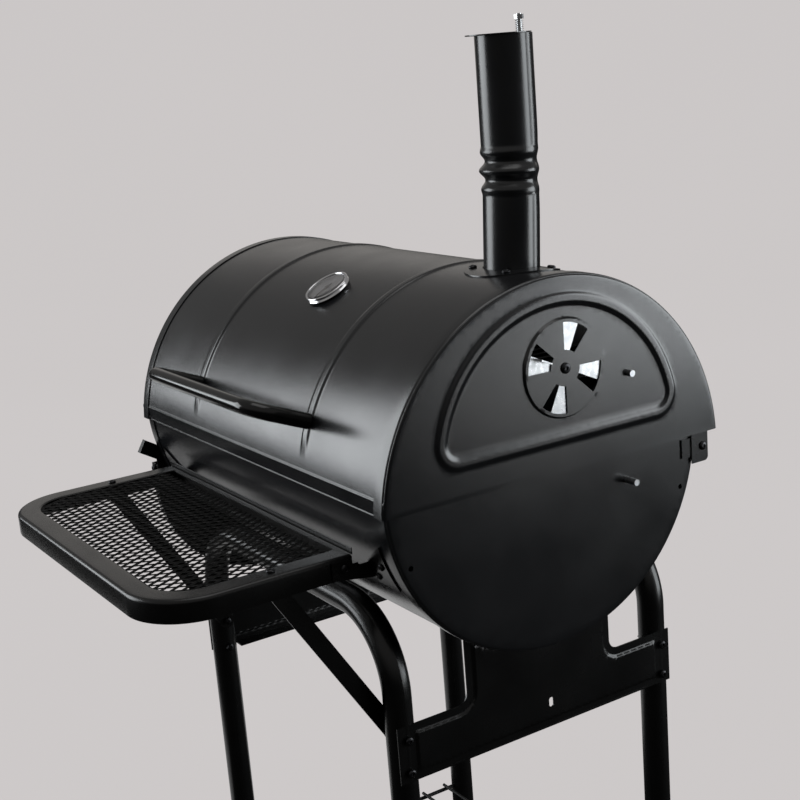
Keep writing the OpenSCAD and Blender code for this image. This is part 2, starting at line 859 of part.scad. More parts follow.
module thermometer_glass() color([0.8, 0.85, 0.88, 0.35]) placed()
    at_gauge() translate([0, 0, 6.2]) cylinder(h = 1.6, r = gauge_r - 2.6);

module thermometer_nut() color(zinc) placed() at_gauge() translate([0, 0, -sheet_t - 5.3])
    difference() {
        cylinder(h = 5, r = 10.5, $fn = 6);
        translate([0, 0, -1]) cylinder(h = 8, r = 6 + fit);
    }

// ---- Chimney ----

module chimney_flange() color(slate) placed() difference() {
    intersection() {
        at_lid() ring_x(lid_skin_r + 0.1, lid_skin_r + 1.6, chimney_x - 60, chimney_x + 60, 60, 60);
        on_chimney() cylinder(h = lid_r + 20, r = flange_r);
    }
    on_chimney() cylinder(h = lid_r + 20, r = pipe_r + 0.1);
    flange_spots() cylinder(h = 12, r = bolt_r + hole_gap, center = true);
}

// Pleated collar where the pipe bends upright.
module pleats(r) {
    rotate_extrude() polygon([
        [0, -27], [r, -27], [r + 3, -20], [r + 1, -13], [r + 3.4, -6], [r + 1, 1],
        [r + 3.4, 8], [r + 1, 15], [r + 2.6, 21], [r, 27], [0, 27]
    ]);
}

module pipe_path(r, base, top) {
    on_chimney() translate([0, 0, base]) cylinder(h = elbow - 12 - base, r = r);
    translate([chimney_x, elbow_y, elbow_z + 12]) cylinder(h = top - elbow_z - 12, r = r);
}

module chimney_pipe() color(slate) placed() difference() {
    union() {
        pipe_path(pipe_r, lid_skin_r - 20, pipe_top);
        translate([chimney_x, elbow_y, elbow_z]) pleats(pipe_r);
    }
    pipe_path(pipe_r - sheet_t, lid_skin_r - 30, pipe_top + 1);
    translate([chimney_x, elbow_y, elbow_z - 14]) cylinder(h = 28, r = pipe_r - 0.4);
    at_lid() rod_x(lid_skin_r + 0.1, chimney_x - 60, chimney_x + 60);
}

module chimney_screws() color(zinc) placed()
    flange_spots() translate([0, 0, 1.7]) bolt_and_nut(3, bolt_r, 5);

module at_stud(z) {
    translate([chimney_x, elbow_y + stud_back, z]) children();
}

module damper_stud() color(zinc) placed() {
    at_stud(pipe_top - 30) cylinder(h = 52, r = 3);
    at_stud(pipe_top - 30) translate([-5, -5, 0]) cube([10, pipe_r - sheet_t - stud_back + 4, 2]);
    at_stud(pipe_top - 42) translate([-5, pipe_r - sheet_t - stud_back - 2, 0]) cube([10, 1.2, 14]);
    at_stud(pipe_top + 16) difference() {
        cylinder(h = 5, r = 5.5, $fn = 6);
        translate([0, 0, -1]) cylinder(h = 8, r = 3 + fit);
    }
}

module damper_spring() color(zinc) placed() at_stud(pipe_top + 1.7) difference() {
    cylinder(h = 14.2, r = 5);
    translate([0, 0, -1]) cylinder(h = 18, r = 3.6);
}

module chimney_damper() color(slate) placed() translate([0, 0, pipe_top + 0.3]) difference() {
    translate([chimney_x, elbow_y - 7, 0]) cylinder(h = sheet_t, r = 38);
    at_stud(-1) cylinder(h = 4, r = 3 + fit);
}

// ---- Warming rack ----

module rack_leg() {
    difference() {
        along_x(leg_plate_x, 2) link_profile(bowl_pin, rack_pin, 16);
        translate([0, bowl_pin[0], bowl_pin[1]]) rod_x(pin_r + fit, leg_plate_x - 2, leg_plate_x + 4);
    }
    translate([0, rack_pin[0], rack_pin[1]]) {
        rod_x(pin_r, leg_plate_x - 9, leg_plate_x + 0.5);
        rod_x(pin_r + 2, leg_plate_x - 10.5, leg_plate_x - 8.5);
    }
}

module warming_rack_legs() color(black) placed() both_ends() rack_leg();

// The side plate hangs on both links and carries the level wires above it.
module rack_side() {
    difference() {
        along_x(link_plate_x, 2) {
            link_profile(rack_pin, lid_pin, 20);
            translate([-44, 88]) square([188, 7]);
            translate([-7, 66]) square([12, 24]);
        }
        translate([0, rack_pin[0], rack_pin[1]]) rod_x(pin_r + fit, link_plate_x - 2, link_plate_x + 4);
        translate([0, lid_pin[0], lid_pin[1]]) rod_x(pin_r + 1, link_plate_x - 2, link_plate_x + 4);
    }
}

module warming_rack_shelf() color(black) placed() {
    both_ends() rack_side();
    for (y = [-38, 50, 138])
        wire_x(2.5, -link_plate_x - 1, link_plate_x + 1, y, 91);
    for (x = [-297 : 22 : 297])
        wire_y(2, -42, 142, x, 93.5);
}

body_shell();
body_cap_right();
body_cap_left();
grate_ledges();
grate_crossbar();
pan_hangers();
rack_body_studs();
hinge_bracket_right();
hinge_bracket_left();
hinge_bolts();
front_arch_tube();
rear_arch_tube();
right_end_panel();
left_end_panel();
panel_bolts();
cradle_bolts();
bottom_rack();
foot_caps();
leg_plugs();
wheel_axle();
axle_nuts();
wheel_front();
wheel_rear();
shelf_rim();
shelf_mesh();
shelf_bracket_right();
shelf_bracket_left();
shelf_brace_right();
shelf_brace_left();
shelf_bolts();
brace_bolts();
side_table();
side_table_brackets();
side_table_bolts();
charcoal_pan();
cooking_grate_right();
cooking_grate_left();
lid_shell();
lid_cap_right();
lid_cap_left();
lid_hinge_ears();
lid_rack_studs();
vent_shutter();
vent_bolt();
handle();
handle_screws();
thermometer_case();
thermometer_dial();
thermometer_needle();
thermometer_glass();
thermometer_nut();
chimney_flange();
chimney_pipe();
chimney_screws();
damper_stud();
damper_spring();
chimney_damper();
warming_rack_legs();
warming_rack_shelf();
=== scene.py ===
"""Barrel charcoal grill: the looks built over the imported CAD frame. Metres, Z up, shelf side facing -Y."""

import json
import math

import bmesh
import bpy
import numpy as np
from mathutils import Matrix, Vector, geometry


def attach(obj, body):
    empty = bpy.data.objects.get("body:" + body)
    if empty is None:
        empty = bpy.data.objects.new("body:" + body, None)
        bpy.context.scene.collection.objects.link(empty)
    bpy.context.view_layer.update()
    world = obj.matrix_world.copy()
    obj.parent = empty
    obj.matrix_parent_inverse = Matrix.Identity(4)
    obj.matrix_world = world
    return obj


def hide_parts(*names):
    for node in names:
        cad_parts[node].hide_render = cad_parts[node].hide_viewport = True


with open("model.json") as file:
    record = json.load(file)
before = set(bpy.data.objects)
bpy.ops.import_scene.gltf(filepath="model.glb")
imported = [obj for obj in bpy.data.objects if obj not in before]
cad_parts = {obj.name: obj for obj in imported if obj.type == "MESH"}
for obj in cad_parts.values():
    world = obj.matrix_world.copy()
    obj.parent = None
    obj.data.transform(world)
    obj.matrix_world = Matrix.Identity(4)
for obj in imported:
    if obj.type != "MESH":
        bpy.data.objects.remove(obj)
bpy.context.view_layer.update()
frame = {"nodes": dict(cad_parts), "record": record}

# ---- Sizes shared with the CAD part, in metres ----

AXIS_Y = 0.09575
AXIS_Z = 0.820
BOWL_R = 0.228
CAP_X = 0.326
LID_X = 0.331
LID_R = 0.2475
LID_SKIN = 0.2462
LID_Y = AXIS_Y + 0.014
LID_Z = AXIS_Z - 0.032
SHEET = 0.0012
RIB_X = 0.149
CHIMNEY_X = 0.234
LEAN = math.radians(3.6)
PIPE_R = 0.0345
LEG_X = 0.245
FRAME_Y = AXIS_Y + 0.016
ARCH_Y = 0.200
TUBE_R = 0.0175


# ---- Materials ----

def new_material(name):
    material = bpy.data.materials.new(name)
    material.use_nodes = True
    tree = material.node_tree
    shader = tree.nodes["Principled BSDF"]
    return material, tree, shader


def noise_ramp(tree, scale, low, high, detail=4.0):
    """A noise texture mapped onto the range low to high, as a single number."""
    coords = tree.nodes.new("ShaderNodeTexCoord")
    tex = tree.nodes.new("ShaderNodeTexNoise")
    tex.inputs["Scale"].default_value = scale
    tex.inputs["Detail"].default_value = detail
    tree.links.new(coords.outputs["Object"], tex.inputs["Vector"])
    ramp = tree.nodes.new("ShaderNodeMapRange")
    ramp.inputs["From Min"].default_value = 0.3
    ramp.inputs["From Max"].default_value = 0.7
    ramp.inputs["To Min"].default_value = low
    ramp.inputs["To Max"].default_value = high
    tree.links.new(tex.outputs["Fac"], ramp.inputs["Value"])
    return ramp.outputs["Result"]


def mix_colours(tree, factor, a, b):
    mix = tree.nodes.new("ShaderNodeMix")
    mix.data_type = "RGBA"
    tree.links.new(factor, mix.inputs["Factor"])
    mix.inputs["A"].default_value = (*a, 1)
    mix.inputs["B"].default_value = (*b, 1)
    return mix.outputs["Result"]


def add_bump(tree, shader, height, strength, distance):
    bump = tree.nodes.new("ShaderNodeBump")
    bump.inputs["Strength"].default_value = strength
    bump.inputs["Distance"].default_value = distance
    tree.links.new(height, bump.inputs["Height"])
    tree.links.new(bump.outputs["Normal"], shader.inputs["Normal"])


def coat(name, dark, light, rough, grain=900, bump=0.12, specular=0.5):
    """Paint or powder coat: slight mottling in colour and sheen over a fine orange peel."""
    material, tree, shader = new_material(name)
    colour = mix_colours(tree, noise_ramp(tree, 7, 0, 1), dark, light)
    tree.links.new(colour, shader.inputs["Base Color"])
    tree.links.new(noise_ramp(tree, 11, rough - 0.03, rough + 0.04), shader.inputs["Roughness"])
    shader.inputs["Specular IOR Level"].default_value = specular
    add_bump(tree, shader, noise_ramp(tree, grain, 0, 1, 2), bump, 0.0002)
    return material


def bright_metal(name, dark, light, rough, scratch=160):
    """Plated or bare steel with fine streaks."""
    material, tree, shader = new_material(name)
    colour = mix_colours(tree, noise_ramp(tree, 60, 0, 1), dark, light)
    tree.links.new(colour, shader.inputs["Base Color"])
    tree.links.new(noise_ramp(tree, scratch, rough - 0.06, rough + 0.10), shader.inputs["Roughness"])
    shader.inputs["Metallic"].default_value = 1.0
    add_bump(tree, shader, noise_ramp(tree, 500, 0, 1, 2), 0.06, 0.0001)
    return material


def dial_material():
    """A faintly mottled grey dial."""
    material, tree, shader = new_material("dial_face")
    colour = mix_colours(tree, noise_ramp(tree, 90, 0, 1), (0.20, 0.205, 0.21), (0.25, 0.255, 0.26))
    tree.links.new(colour, shader.inputs["Base Color"])
    shader.inputs["Roughness"].default_value = 0.35
    return material


def glass_material():
    material, tree, shader = new_material("clear_glass")
    shader.inputs["Transmission Weight"].default_value = 1.0
    shader.inputs["IOR"].default_value = 1.45
    tree.links.new(noise_ramp(tree, 30, 0.02, 0.05), shader.inputs["Roughness"])
    return material


POWDER = coat("slate_powder_coat", (0.006, 0.0065, 0.0075), (0.009, 0.0095, 0.011), 0.23, specular=0.75)
DARK = coat("black_powder_coat", (0.003, 0.003, 0.003), (0.005, 0.005, 0.005), 0.25)
WIRE = coat("coated_wire", (0.006, 0.006, 0.006), (0.010, 0.010, 0.010), 0.55, specular=0.25)
GLOSS = coat("gloss_tube", (0.006, 0.006, 0.006), (0.010, 0.010, 0.010), 0.14, grain=300, bump=0.04)
PLASTIC = coat("moulded_plastic", (0.010, 0.010, 0.011), (0.016, 0.016, 0.017), 0.5, grain=1400, bump=0.2)
ZINC = bright_metal("zinc_plate", (0.52, 0.53, 0.55), (0.70, 0.71, 0.72), 0.28)
CHROME = bright_metal("chrome_bezel", (0.70, 0.70, 0.72), (0.80, 0.80, 0.81), 0.12)
BLACK_BOLT = bright_metal("black_bolt", (0.030, 0.030, 0.032), (0.055, 0.055, 0.058), 0.30)
NEEDLE = coat("dial_black", (0.010, 0.010, 0.010), (0.016, 0.016, 0.016), 0.45)
DIAL = dial_material()
GLASS = glass_material()

# The record's material slots, for the CAD pieces that keep their own mesh.
SLOT_MATERIALS = {
    "powder_coat": POWDER, "dark_coat": DARK, "enamel_wire": WIRE, "zinc": ZINC, "gloss_tube": GLOSS,
    "wheel_plastic": PLASTIC, "foot_plastic": PLASTIC, "dial": DIAL, "needle": NEEDLE, "bezel": CHROME,
    "glass": GLASS, "black_fasteners": BLACK_BOLT,
}


# ---- Mesh helpers ----

def make_object(name, verts, faces, material):
    """A smooth shaded mesh object with all its faces turned outward."""
    mesh = bpy.data.meshes.new(name)
    mesh.from_pydata([tuple(v) for v in verts], [], faces)
    mesh.validate()
    obj = bpy.data.objects.new(name, mesh)
    bpy.context.scene.collection.objects.link(obj)
    mesh.materials.append(material)
    fix = bmesh.new()
    fix.from_mesh(mesh)
    bmesh.ops.recalc_face_normals(fix, faces=fix.faces)
    fix.to_mesh(mesh)
    fix.free()
    mesh.shade_smooth()
    return obj


def use_for(obj, body, slot, *nodes):
    """Lets a piece ride on its body and stand for CAD nodes; the slot argument is not used."""
    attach(obj, body)
    if nodes:
        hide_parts(*nodes)


def sharpen(obj, angle=35):
    """Keeps edges sharper than the angle crisp on a smooth shaded piece."""
    obj.data.set_sharp_from_angle(angle=math.radians(angle))


def turns(count):
    """Evenly spaced angles round a full circle."""
    return [2 * math.pi * k / count for k in range(count)]


def turned(place, profile, sides):
    """Rings of points for a list of (radius, height) turned about the matrix's Z axis."""
    return [[place @ Vector((r * math.cos(t), r * math.sin(t), z)) for t in turns(sides)] for r, z in profile]


def loft(rings, closed_ring=True, closed_path=False):
    """Verts and quad faces that join equal rings of points."""
    verts = [p for ring in rings for p in ring]
    n = len(rings[0])
    faces = []
    for i in range(len(rings) if closed_path else len(rings) - 1):
        j = (i + 1) % len(rings)
        for k in range(n if closed_ring else n - 1):
            m = (k + 1) % n
            faces.append((i * n + k, i * n + m, j * n + m, j * n + k))
    return verts, faces


def capped_loft(rings):
    """A loft of closed rings with a face over its first and last ring."""
    verts, faces = loft(rings)
    n = len(rings[0])
    last = len(verts) - n
    faces += [tuple(range(n))[::-1], tuple(range(last, last + n))]
    return verts, faces


BOX_FACES = [(0, 1, 3, 2), (4, 6, 7, 5), (0, 4, 5, 1), (2, 3, 7, 6), (0, 2, 6, 4), (1, 5, 7, 3)]


class Builder:
    """Collects many simple solids into one mesh."""

    def __init__(self):
        self.verts = []
        self.faces = []

    def add(self, verts, faces):
        base = len(self.verts)
        self.verts += verts
        self.faces += [tuple(base + i for i in f) for f in faces]

    def rod(self, a, b, r):
        """A round bar between two points with bevelled ends."""
        a, b = Vector(a), Vector(b)
        turn = (b - a).to_track_quat("Z", "Y").to_matrix()
        ring = turned(turn, [(r, 0)], 12)[0]
        inset = (b - a).normalized() * r * 0.35
        rings = [[a + p * 0.6 for p in ring], [a + inset + p for p in ring],
                 [b - inset + p for p in ring], [b + p * 0.6 for p in ring]]
        self.add(*capped_loft(rings))

    def lathe(self, matrix, profile, sides):
        """Turns a list of (radius, height) about the matrix's Z axis; ends are closed."""
        self.add(*capped_loft(turned(matrix, profile, sides)))

    def block(self, low, high, place=Matrix()):
        """A box between two corners, moved by a matrix."""
        corners = [place @ Vector((x, y, z)) for x in (low[0], high[0]) for y in (low[1], high[1])
                   for z in (low[2], high[2])]
        self.add(corners, BOX_FACES)

    def finish(self, name, material, sharp=35):
        obj = make_object(name, self.verts, self.faces, material)
        sharpen(obj, sharp)
        return obj


def tube_along(name, path, r, material, sides):
    """A round bar swept along a path of points."""
    last = len(path) - 1
    start = (path[1] - path[0]).normalized()
    side = Vector((0, 0, 1)) if abs(start.z) < 0.9 else Vector((1, 0, 0))
    rings = []
    for i, p in enumerate(path):
        ahead = (path[min(i + 1, last)] - path[max(i - 1, 0)]).normalized()
        side = (side - ahead * side.dot(ahead)).normalized()
        cross = ahead.cross(side)
        rings.append([p + r * (math.cos(t) * side + math.sin(t) * cross) for t in turns(sides)])
    obj = make_object(name, *capped_loft(rings), material)
    sharpen(obj, 50)
    return obj


def radial(centre_y, centre_z, r, angle, x):
    """A point at a radius and angle (from +Y, rising) about an axis along X."""
    return Vector((x, centre_y + r * math.cos(angle), centre_z + r * math.sin(angle)))


def smooth_step(low, high, value):
    t = min(max((value - low) / (high - low), 0), 1)
    return t * t * (3 - 2 * t)


# ---- Lid ----

LID_ARC = math.asin(0.0175 / LID_R)
CHIMNEY_FRAME = Matrix.Translation((CHIMNEY_X, LID_Y, LID_Z)) @ Matrix.Rotation(-LEAN, 4, "X")
LIP_SPAN = math.radians(4.2)
RIB_RISE = 0.0020
RIB_START = math.radians(12)
RIB_FADE = math.radians(7)


def rib_height(x, from_front):
    """Raised bead across the lid that fades out above the front lip."""
    bead = smooth_step(0.0090, 0.0040, abs(abs(x) - RIB_X))
    fade = smooth_step(RIB_START, RIB_START + RIB_FADE, from_front)
    back = smooth_step(math.radians(6), math.radians(12), math.pi - from_front)
    return RIB_RISE * bead * fade * back


def lip_height(from_front):
    """The lip along the lower front edge leans in from a proud fold and ends in a small hem."""
    along = (from_front - LID_ARC) / LIP_SPAN
    proud = -0.0022 + 0.0032 * min(along, 1)
    hem = 0.0009 * (1 - smooth_step(0.03, 0.10, along))
    return proud * (1 - smooth_step(1.0, 1.12, along)) + hem


def lid_columns():
    """Places along the lid for its columns of points, close together over the ribs."""
    half = 0.3098
    even = [-half + i * 2 * half / 120 for i in range(121)]
    fine = [s * (RIB_X + d * 0.0015) for s in (-1, 1) for d in range(-9, 10)]
    away = [round(x, 5) for x in even if abs(abs(x) - RIB_X) > 0.015]
    return [-LID_X + SHEET] + sorted(set(away + fine)) + [LID_X - SHEET]


def lid_shell():
    """The curved sheet between the lid's end caps, with ribs and a folded front lip."""
    xs = lid_columns()
    steps = 150
    angles = [LID_ARC + (math.pi - 2 * LID_ARC) * i / steps for i in range(steps + 1)]
    angles += [LID_ARC + LIP_SPAN * (0.97 + 0.03 * i) for i in range(7)]
    angles += [LID_ARC + LIP_SPAN * 0.015 * i for i in range(1, 9)]
    angles = sorted(angles)
    outer = [[radial(LID_Y, LID_Z, LID_SKIN + rib_height(x, a) + lip_height(a), math.pi - a, x) for x in xs]
             for a in angles]
    inner = [[radial(LID_Y, LID_Z, LID_SKIN - SHEET + rib_height(x, a) + lip_height(a), math.pi - a, x)
              for x in xs] for a in angles]
    rings = [o + i[::-1] for o, i in zip(outer, inner)]
    obj = make_object("lid_sheet", *capped_loft(rings), POWDER)
    cut_chimney_hole(obj)
    sharpen(obj, 50)
    use_for(obj, "lid", "powder_coat", "lid_shell")


def cut_chimney_hole(obj):
    """Opens the sheet under the chimney and pulls the edge onto the round hole."""
    edit = bmesh.new()
    edit.from_mesh(obj.data)
    to_pipe = CHIMNEY_FRAME.inverted()
    hole = PIPE_R - 0.002

    def off_axis(v):
        p = to_pipe @ v.co
        return math.hypot(p.x, p.y) if p.z > 0.1 else 1.0

    gone = [v for v in edit.verts if off_axis(v) < hole]
    bmesh.ops.delete(edit, geom=gone, context="VERTS")
    for v in edit.verts:
        if v.is_boundary and off_axis(v) < hole + 0.012:
            p = to_pipe @ v.co
            k = hole / math.hypot(p.x, p.y)
            v.co = CHIMNEY_FRAME @ Vector((p.x * k, p.y * k, p.z))
    edit.to_mesh(obj.data)
    edit.free()


lid_shell()


# ---- Pressed end caps ----

CAP_FLANGE = 0.020
CAP_BEND = 0.005
HOLE_R = 0.0033
RIGHT_CAP_HOLES = (0.200, 0.078)
LEFT_CAP_HOLES = (0.196, 0.080)


def arc_points(centre, r, floor, steps, sign):
    """Points along a cap's round edge, cut level at the floor; sign is 1 for a lid and -1 for a bowl."""
    start = math.asin((floor - centre[1]) * sign / r)
    angles = [start + (math.pi - 2 * start) * k / steps for k in range(steps + 1)]
    return [(centre[0] + r * math.cos(a), centre[1] + sign * r * math.sin(a)) for a in angles]


def circle_points(centre, r, count):
    return [(centre[0] + r * math.cos(t), centre[1] + r * math.sin(t)) for t in turns(count)]


def in_loop(loop, p):
    """Whether a 2D point lies inside a closed loop."""
    inside = False
    for (ay, az), (by, bz) in zip(loop, loop[1:] + loop[:1]):
        if (az > p[1]) != (bz > p[1]) and p[0] < ay + (p[1] - az) * (by - ay) / (bz - az):
            inside = not inside
    return inside


def face_triangles(edge, holes, extra, pitch):
    """Fills an edge loop with triangles on a grid of points, leaving the holes open."""
    points, links = [], []
    for loop in [edge] + holes:
        base = len(points)
        points += loop
        links += [(base + i, base + (i + 1) % len(loop)) for i in range(len(loop))]
    low = [min(p[i] for p in edge) for i in (0, 1)]
    high = [max(p[i] for p in edge) for i in (0, 1)]
    inner = [p for p in extra if in_loop(edge, p)]
    rows = int((high[1] - low[1]) / pitch)
    for j in range(1, rows):
        for i in range(1, int((high[0] - low[0]) / pitch)):
            p = (low[0] + (i + 0.5 * (j % 2)) * pitch, low[1] + j * pitch)
            if in_loop(edge, p):
                inner.append(p)
    points += inner
    result = geometry.delaunay_2d_cdt([Vector(p) for p in points], links, [], 0, 1e-6)
    verts, tris = result[0], result[2]
    kept = []
    for t in tris:
        mid = sum((verts[i] for i in t), Vector((0, 0))) / len(t)
        if in_loop(edge, mid) and not any(in_loop(h, mid) for h in holes):
            kept.append(t)
    return verts, kept


def cap_sheet(name, side, face_x, centre, r, floor, sign, height, holes, extra, pitch=0.007):
    """A pressed cap: a face with relief, a rounded rim and a flange wrapped over the barrel."""
    steps = 150
    edge = arc_points(centre, r - CAP_BEND, floor, steps, sign)
    verts, faces = face_triangles(edge, holes, extra, pitch)
    verts = [Vector((side * (face_x + height(v[0], v[1])), v[0], v[1])) for v in verts]
    rings = []
    for k in range(7):
        a = math.pi / 2 * k / 6
        ring = arc_points(centre, r - CAP_BEND + CAP_BEND * math.sin(a), floor, steps, sign)
        rings.append([Vector((side * (face_x - CAP_BEND + CAP_BEND * math.cos(a)), *p)) for p in ring])
    rim = arc_points(centre, r, floor, steps, sign)
    rings.append([Vector((side * (face_x - CAP_FLANGE), *p)) for p in rim])
    rim_verts, rim_faces = loft(rings, closed_ring=False)
    faces = list(faces) + [tuple(len(verts) + i for i in f) for f in rim_faces]
    obj = make_object(name, verts + rim_verts, faces, POWDER)
    thicken(obj, SHEET * 0.95)
    sharpen(obj, 40)
    return obj


def thicken(obj, amount):
    """Joins matching points and gives a sheet its thickness, inward."""
    edit = bmesh.new()
    edit.from_mesh(obj.data)
    bmesh.ops.remove_doubles(edit, verts=edit.verts, dist=1e-6)
    bmesh.ops.recalc_face_normals(edit, faces=edit.faces)
    bmesh.ops.solidify(edit, geom=edit.faces[:], thickness=amount)
    edit.to_mesh(obj.data)
    edit.free()
    obj.data.shade_smooth()


D_CENTRE = (AXIS_Y + 0.016, AXIS_Z + 0.014)
D_CORNER = 0.024
D_ROUND = 0.173 - D_CORNER
D_FLOOR = AXIS_Z + 0.026 + D_CORNER
D_HALF = math.sqrt(D_ROUND ** 2 - (D_FLOOR - D_CENTRE[1]) ** 2)
D_RISE = 0.0021
BOSS_RISE = 0.0032
VENT = (AXIS_Y + 0.022, AXIS_Z + 0.107)
VENT_R = 0.058
VENT_INNER = 0.021
VENT_OUTER = 0.053
VENT_DEGREES = 42


def d_distance(y, z):
    """Signed distance from the middle line of the D-shaped bead."""
    dy, dz = y - D_CENTRE[0], z - D_CENTRE[1]
    r = math.hypot(dy, dz)
    if r <= D_ROUND and z >= D_FLOOR:
        return max(r - D_ROUND, D_FLOOR - z) - D_CORNER
    if r > D_ROUND and D_CENTRE[1] + dz * D_ROUND / r >= D_FLOOR:
        return r - D_ROUND - D_CORNER
    if abs(dy) <= D_HALF:
        return D_FLOOR - z - D_CORNER
    return math.hypot(abs(dy) - D_HALF, z - D_FLOOR) - D_CORNER


def d_curve(offset):
    """Points along the D-shaped bead at an offset from its middle line."""
    start = math.atan2(D_FLOOR - D_CENTRE[1], D_HALF)
    points = []
    for k in range(131):
        a = start + (math.pi - 2 * start) * k / 130
        r = D_ROUND + D_CORNER + offset
        points.append((D_CENTRE[0] + r * math.cos(a), D_CENTRE[1] + r * math.sin(a)))
    for side in (-1, 1):
        for k in range(13):
            a = -math.pi / 2 + (start + math.pi / 2) * k / 12
            r = D_CORNER + offset
            points.append((D_CENTRE[0] + side * (D_HALF + r * math.cos(a)), D_FLOOR + r * math.sin(a)))
    for k in range(1, 60):
        points.append((D_CENTRE[0] - D_HALF + 2 * D_HALF * k / 60, D_FLOOR - D_CORNER - offset))
    return points


def lid_relief(vent):
    """The height of a lid cap's face: the D-shaped bead and, at the vent, a round boss."""
    def height(y, z):
        bead = D_RISE * smooth_step(0.0094, 0.0026, abs(d_distance(y, z)))
        boss = 0.0
        if vent:
            from_vent = math.hypot(y - VENT[0], z - VENT[1])
            boss = BOSS_RISE * smooth_step(VENT_R + 0.0010, VENT_R - 0.0015, from_vent)
        return bead + boss
    return height


def vent_openings():
    """The four sector openings, with points close enough to stay round."""
    loops = []
    for i in range(4):
        mid = math.radians(90 - (VENT_DEGREES / 2 + 90 * i))
        sweep = [mid + math.radians(-VENT_DEGREES / 2 + VENT_DEGREES * k / 12) for k in range(13)]
        outer = [(VENT[0] + VENT_OUTER * math.cos(a), VENT[1] + VENT_OUTER * math.sin(a)) for a in sweep]
        inner = [(VENT[0] + VENT_INNER * math.cos(a), VENT[1] + VENT_INNER * math.sin(a)) for a in sweep]
        loops.append(outer + inner[::-1])
    return loops


def lid_cap(side, vent):
    """A cap with points laid closely along the edges of its relief."""
    extra = [p for k in range(-8, 9) for p in d_curve(k * 0.0012)]
    holes = []
    if vent:
        holes = vent_openings()
        for step in (-0.0025, -0.0015, -0.0007, 0.0001, 0.0010, 0.0020):
            extra += circle_points(VENT, VENT_R + step, 96)
    name = "lid_cap_right" if side > 0 else "lid_cap_left"
    obj = cap_sheet(name + "_sheet", side, LID_X, (LID_Y, LID_Z), LID_R, AXIS_Z - 0.0145, 1,
                    lid_relief(vent), holes, extra)
    use_for(obj, "lid", "powder_coat", name)


def bowl_cap(side):
    """A plain cap with two holes, which carry the side table at the left end."""
    reach, drop = RIGHT_CAP_HOLES if side > 0 else LEFT_CAP_HOLES
    holes = [circle_points((AXIS_Y + y, AXIS_Z - drop), HOLE_R, 20) for y in (-reach, reach)]
    name = "body_cap_right" if side > 0 else "body_cap_left"
    obj = cap_sheet(name + "_sheet", side, CAP_X, (AXIS_Y, AXIS_Z), BOWL_R, AXIS_Z, -1,
                    lambda y, z: 0.0, holes, [], 0.012)
    use_for(obj, "stand", "powder_coat", name)


lid_cap(1, True)
lid_cap(-1, False)
bowl_cap(1)
bowl_cap(-1)


# ---- Chimney ----

PIPE_TOP = AXIS_Z + 0.480
ELBOW = 0.360
ELBOW_Y = LID_Y + ELBOW * math.sin(LEAN)


def pipe_middle(s):
    """Centre of the pipe at a length s from the lid's arc centre, and how far it has turned upright."""
    low = Vector((CHIMNEY_X, LID_Y + s * math.sin(LEAN), LID_Z + s * math.cos(LEAN)))
    turn = smooth_step(ELBOW - 0.022, ELBOW + 0.022, s)
    high = Vector((CHIMNEY_X, ELBOW_Y, LID_Z + s * math.cos(LEAN)))
    return low.lerp(high, turn), LEAN * (1 - turn)


def pipe_radius(s, a):
    """Pleats on the inside of the bend, a dent beside the seam, and the seam's fold."""
    inside = 0.5 + 0.5 * math.cos(a + math.pi / 2)
    t = (s - ELBOW) / 0.030
    pleat = 0.0
    if abs(t) < 1:
        pleat = (0.0012 + 0.0030 * inside) * math.cos(t * math.pi * 2.5) * (1 - t * t)
    dent = -0.0035 * math.exp(-((a - 0.75) / 0.35) ** 2 - (t / 0.8) ** 2)
    seam = 0.0011 * smooth_step(0.20, 0.24, a) * (1 - smooth_step(0.50, 0.52, a))
    return PIPE_R - 0.0011 + 0.0011 * (a > math.pi) + pleat + dent + seam * (abs(t) > 0.9)


def chimney():
    """A pipe set square on the curved lid, bent upright a little way up."""
    sides = 96
    base = LID_SKIN - 0.001
    top = (PIPE_TOP - LID_Z) / math.cos(LEAN)
    lengths = [base + (top - base) * k / 40 for k in range(41)]
    lengths += [ELBOW - 0.034 + 0.068 * k / 60 for k in range(61)]
    rings = []
    for s in sorted(lengths):
        middle, tilt = pipe_middle(s)
        turn = Matrix.Rotation(-tilt, 3, "X")
        ring = []
        for k in range(sides):
            a = 2 * math.pi * k / sides - math.pi
            r = pipe_radius(s, a)
            ring.append(middle + turn @ Vector((r * math.cos(a), r * math.sin(a), 0)))
        rings.append(ring)
    seat_on_lid(rings[0])
    obj = make_object("chimney_pipe_sheet", *loft(rings), POWDER)
    thicken(obj, SHEET)
    sharpen(obj, 45)
    use_for(obj, "lid", "powder_coat", "chimney_pipe")


def seat_on_lid(ring):
    """Drops the pipe's lowest ring onto the curved lid."""
    for p in ring:
        p.z = LID_Z + math.sqrt(max((LID_SKIN + 0.0004) ** 2 - (p.y - LID_Y) ** 2, 0))


def damper_spring():
    """A wound wire between the damper disc and its nut."""
    steps, r, length = 6 * 20, 0.0042, 0.0132
    base = Vector((CHIMNEY_X, ELBOW_Y + 0.024, PIPE_TOP + 0.0022))
    coil = []
    for k in range(steps + 1):
        a = 2 * math.pi * k / 20
        coil.append(base + Vector((r * math.cos(a), r * math.sin(a), length * k / steps)))
    obj = tube_along("damper_spring_coil", coil, 0.0005, ZINC, 8)
    use_for(obj, "lid", "zinc", "damper_spring")


chimney()
damper_spring()


# ---- Handle ----

HANDLE_R = 0.0095
HANDLE_RISE = 0.076
HANDLE_BEND = 0.028


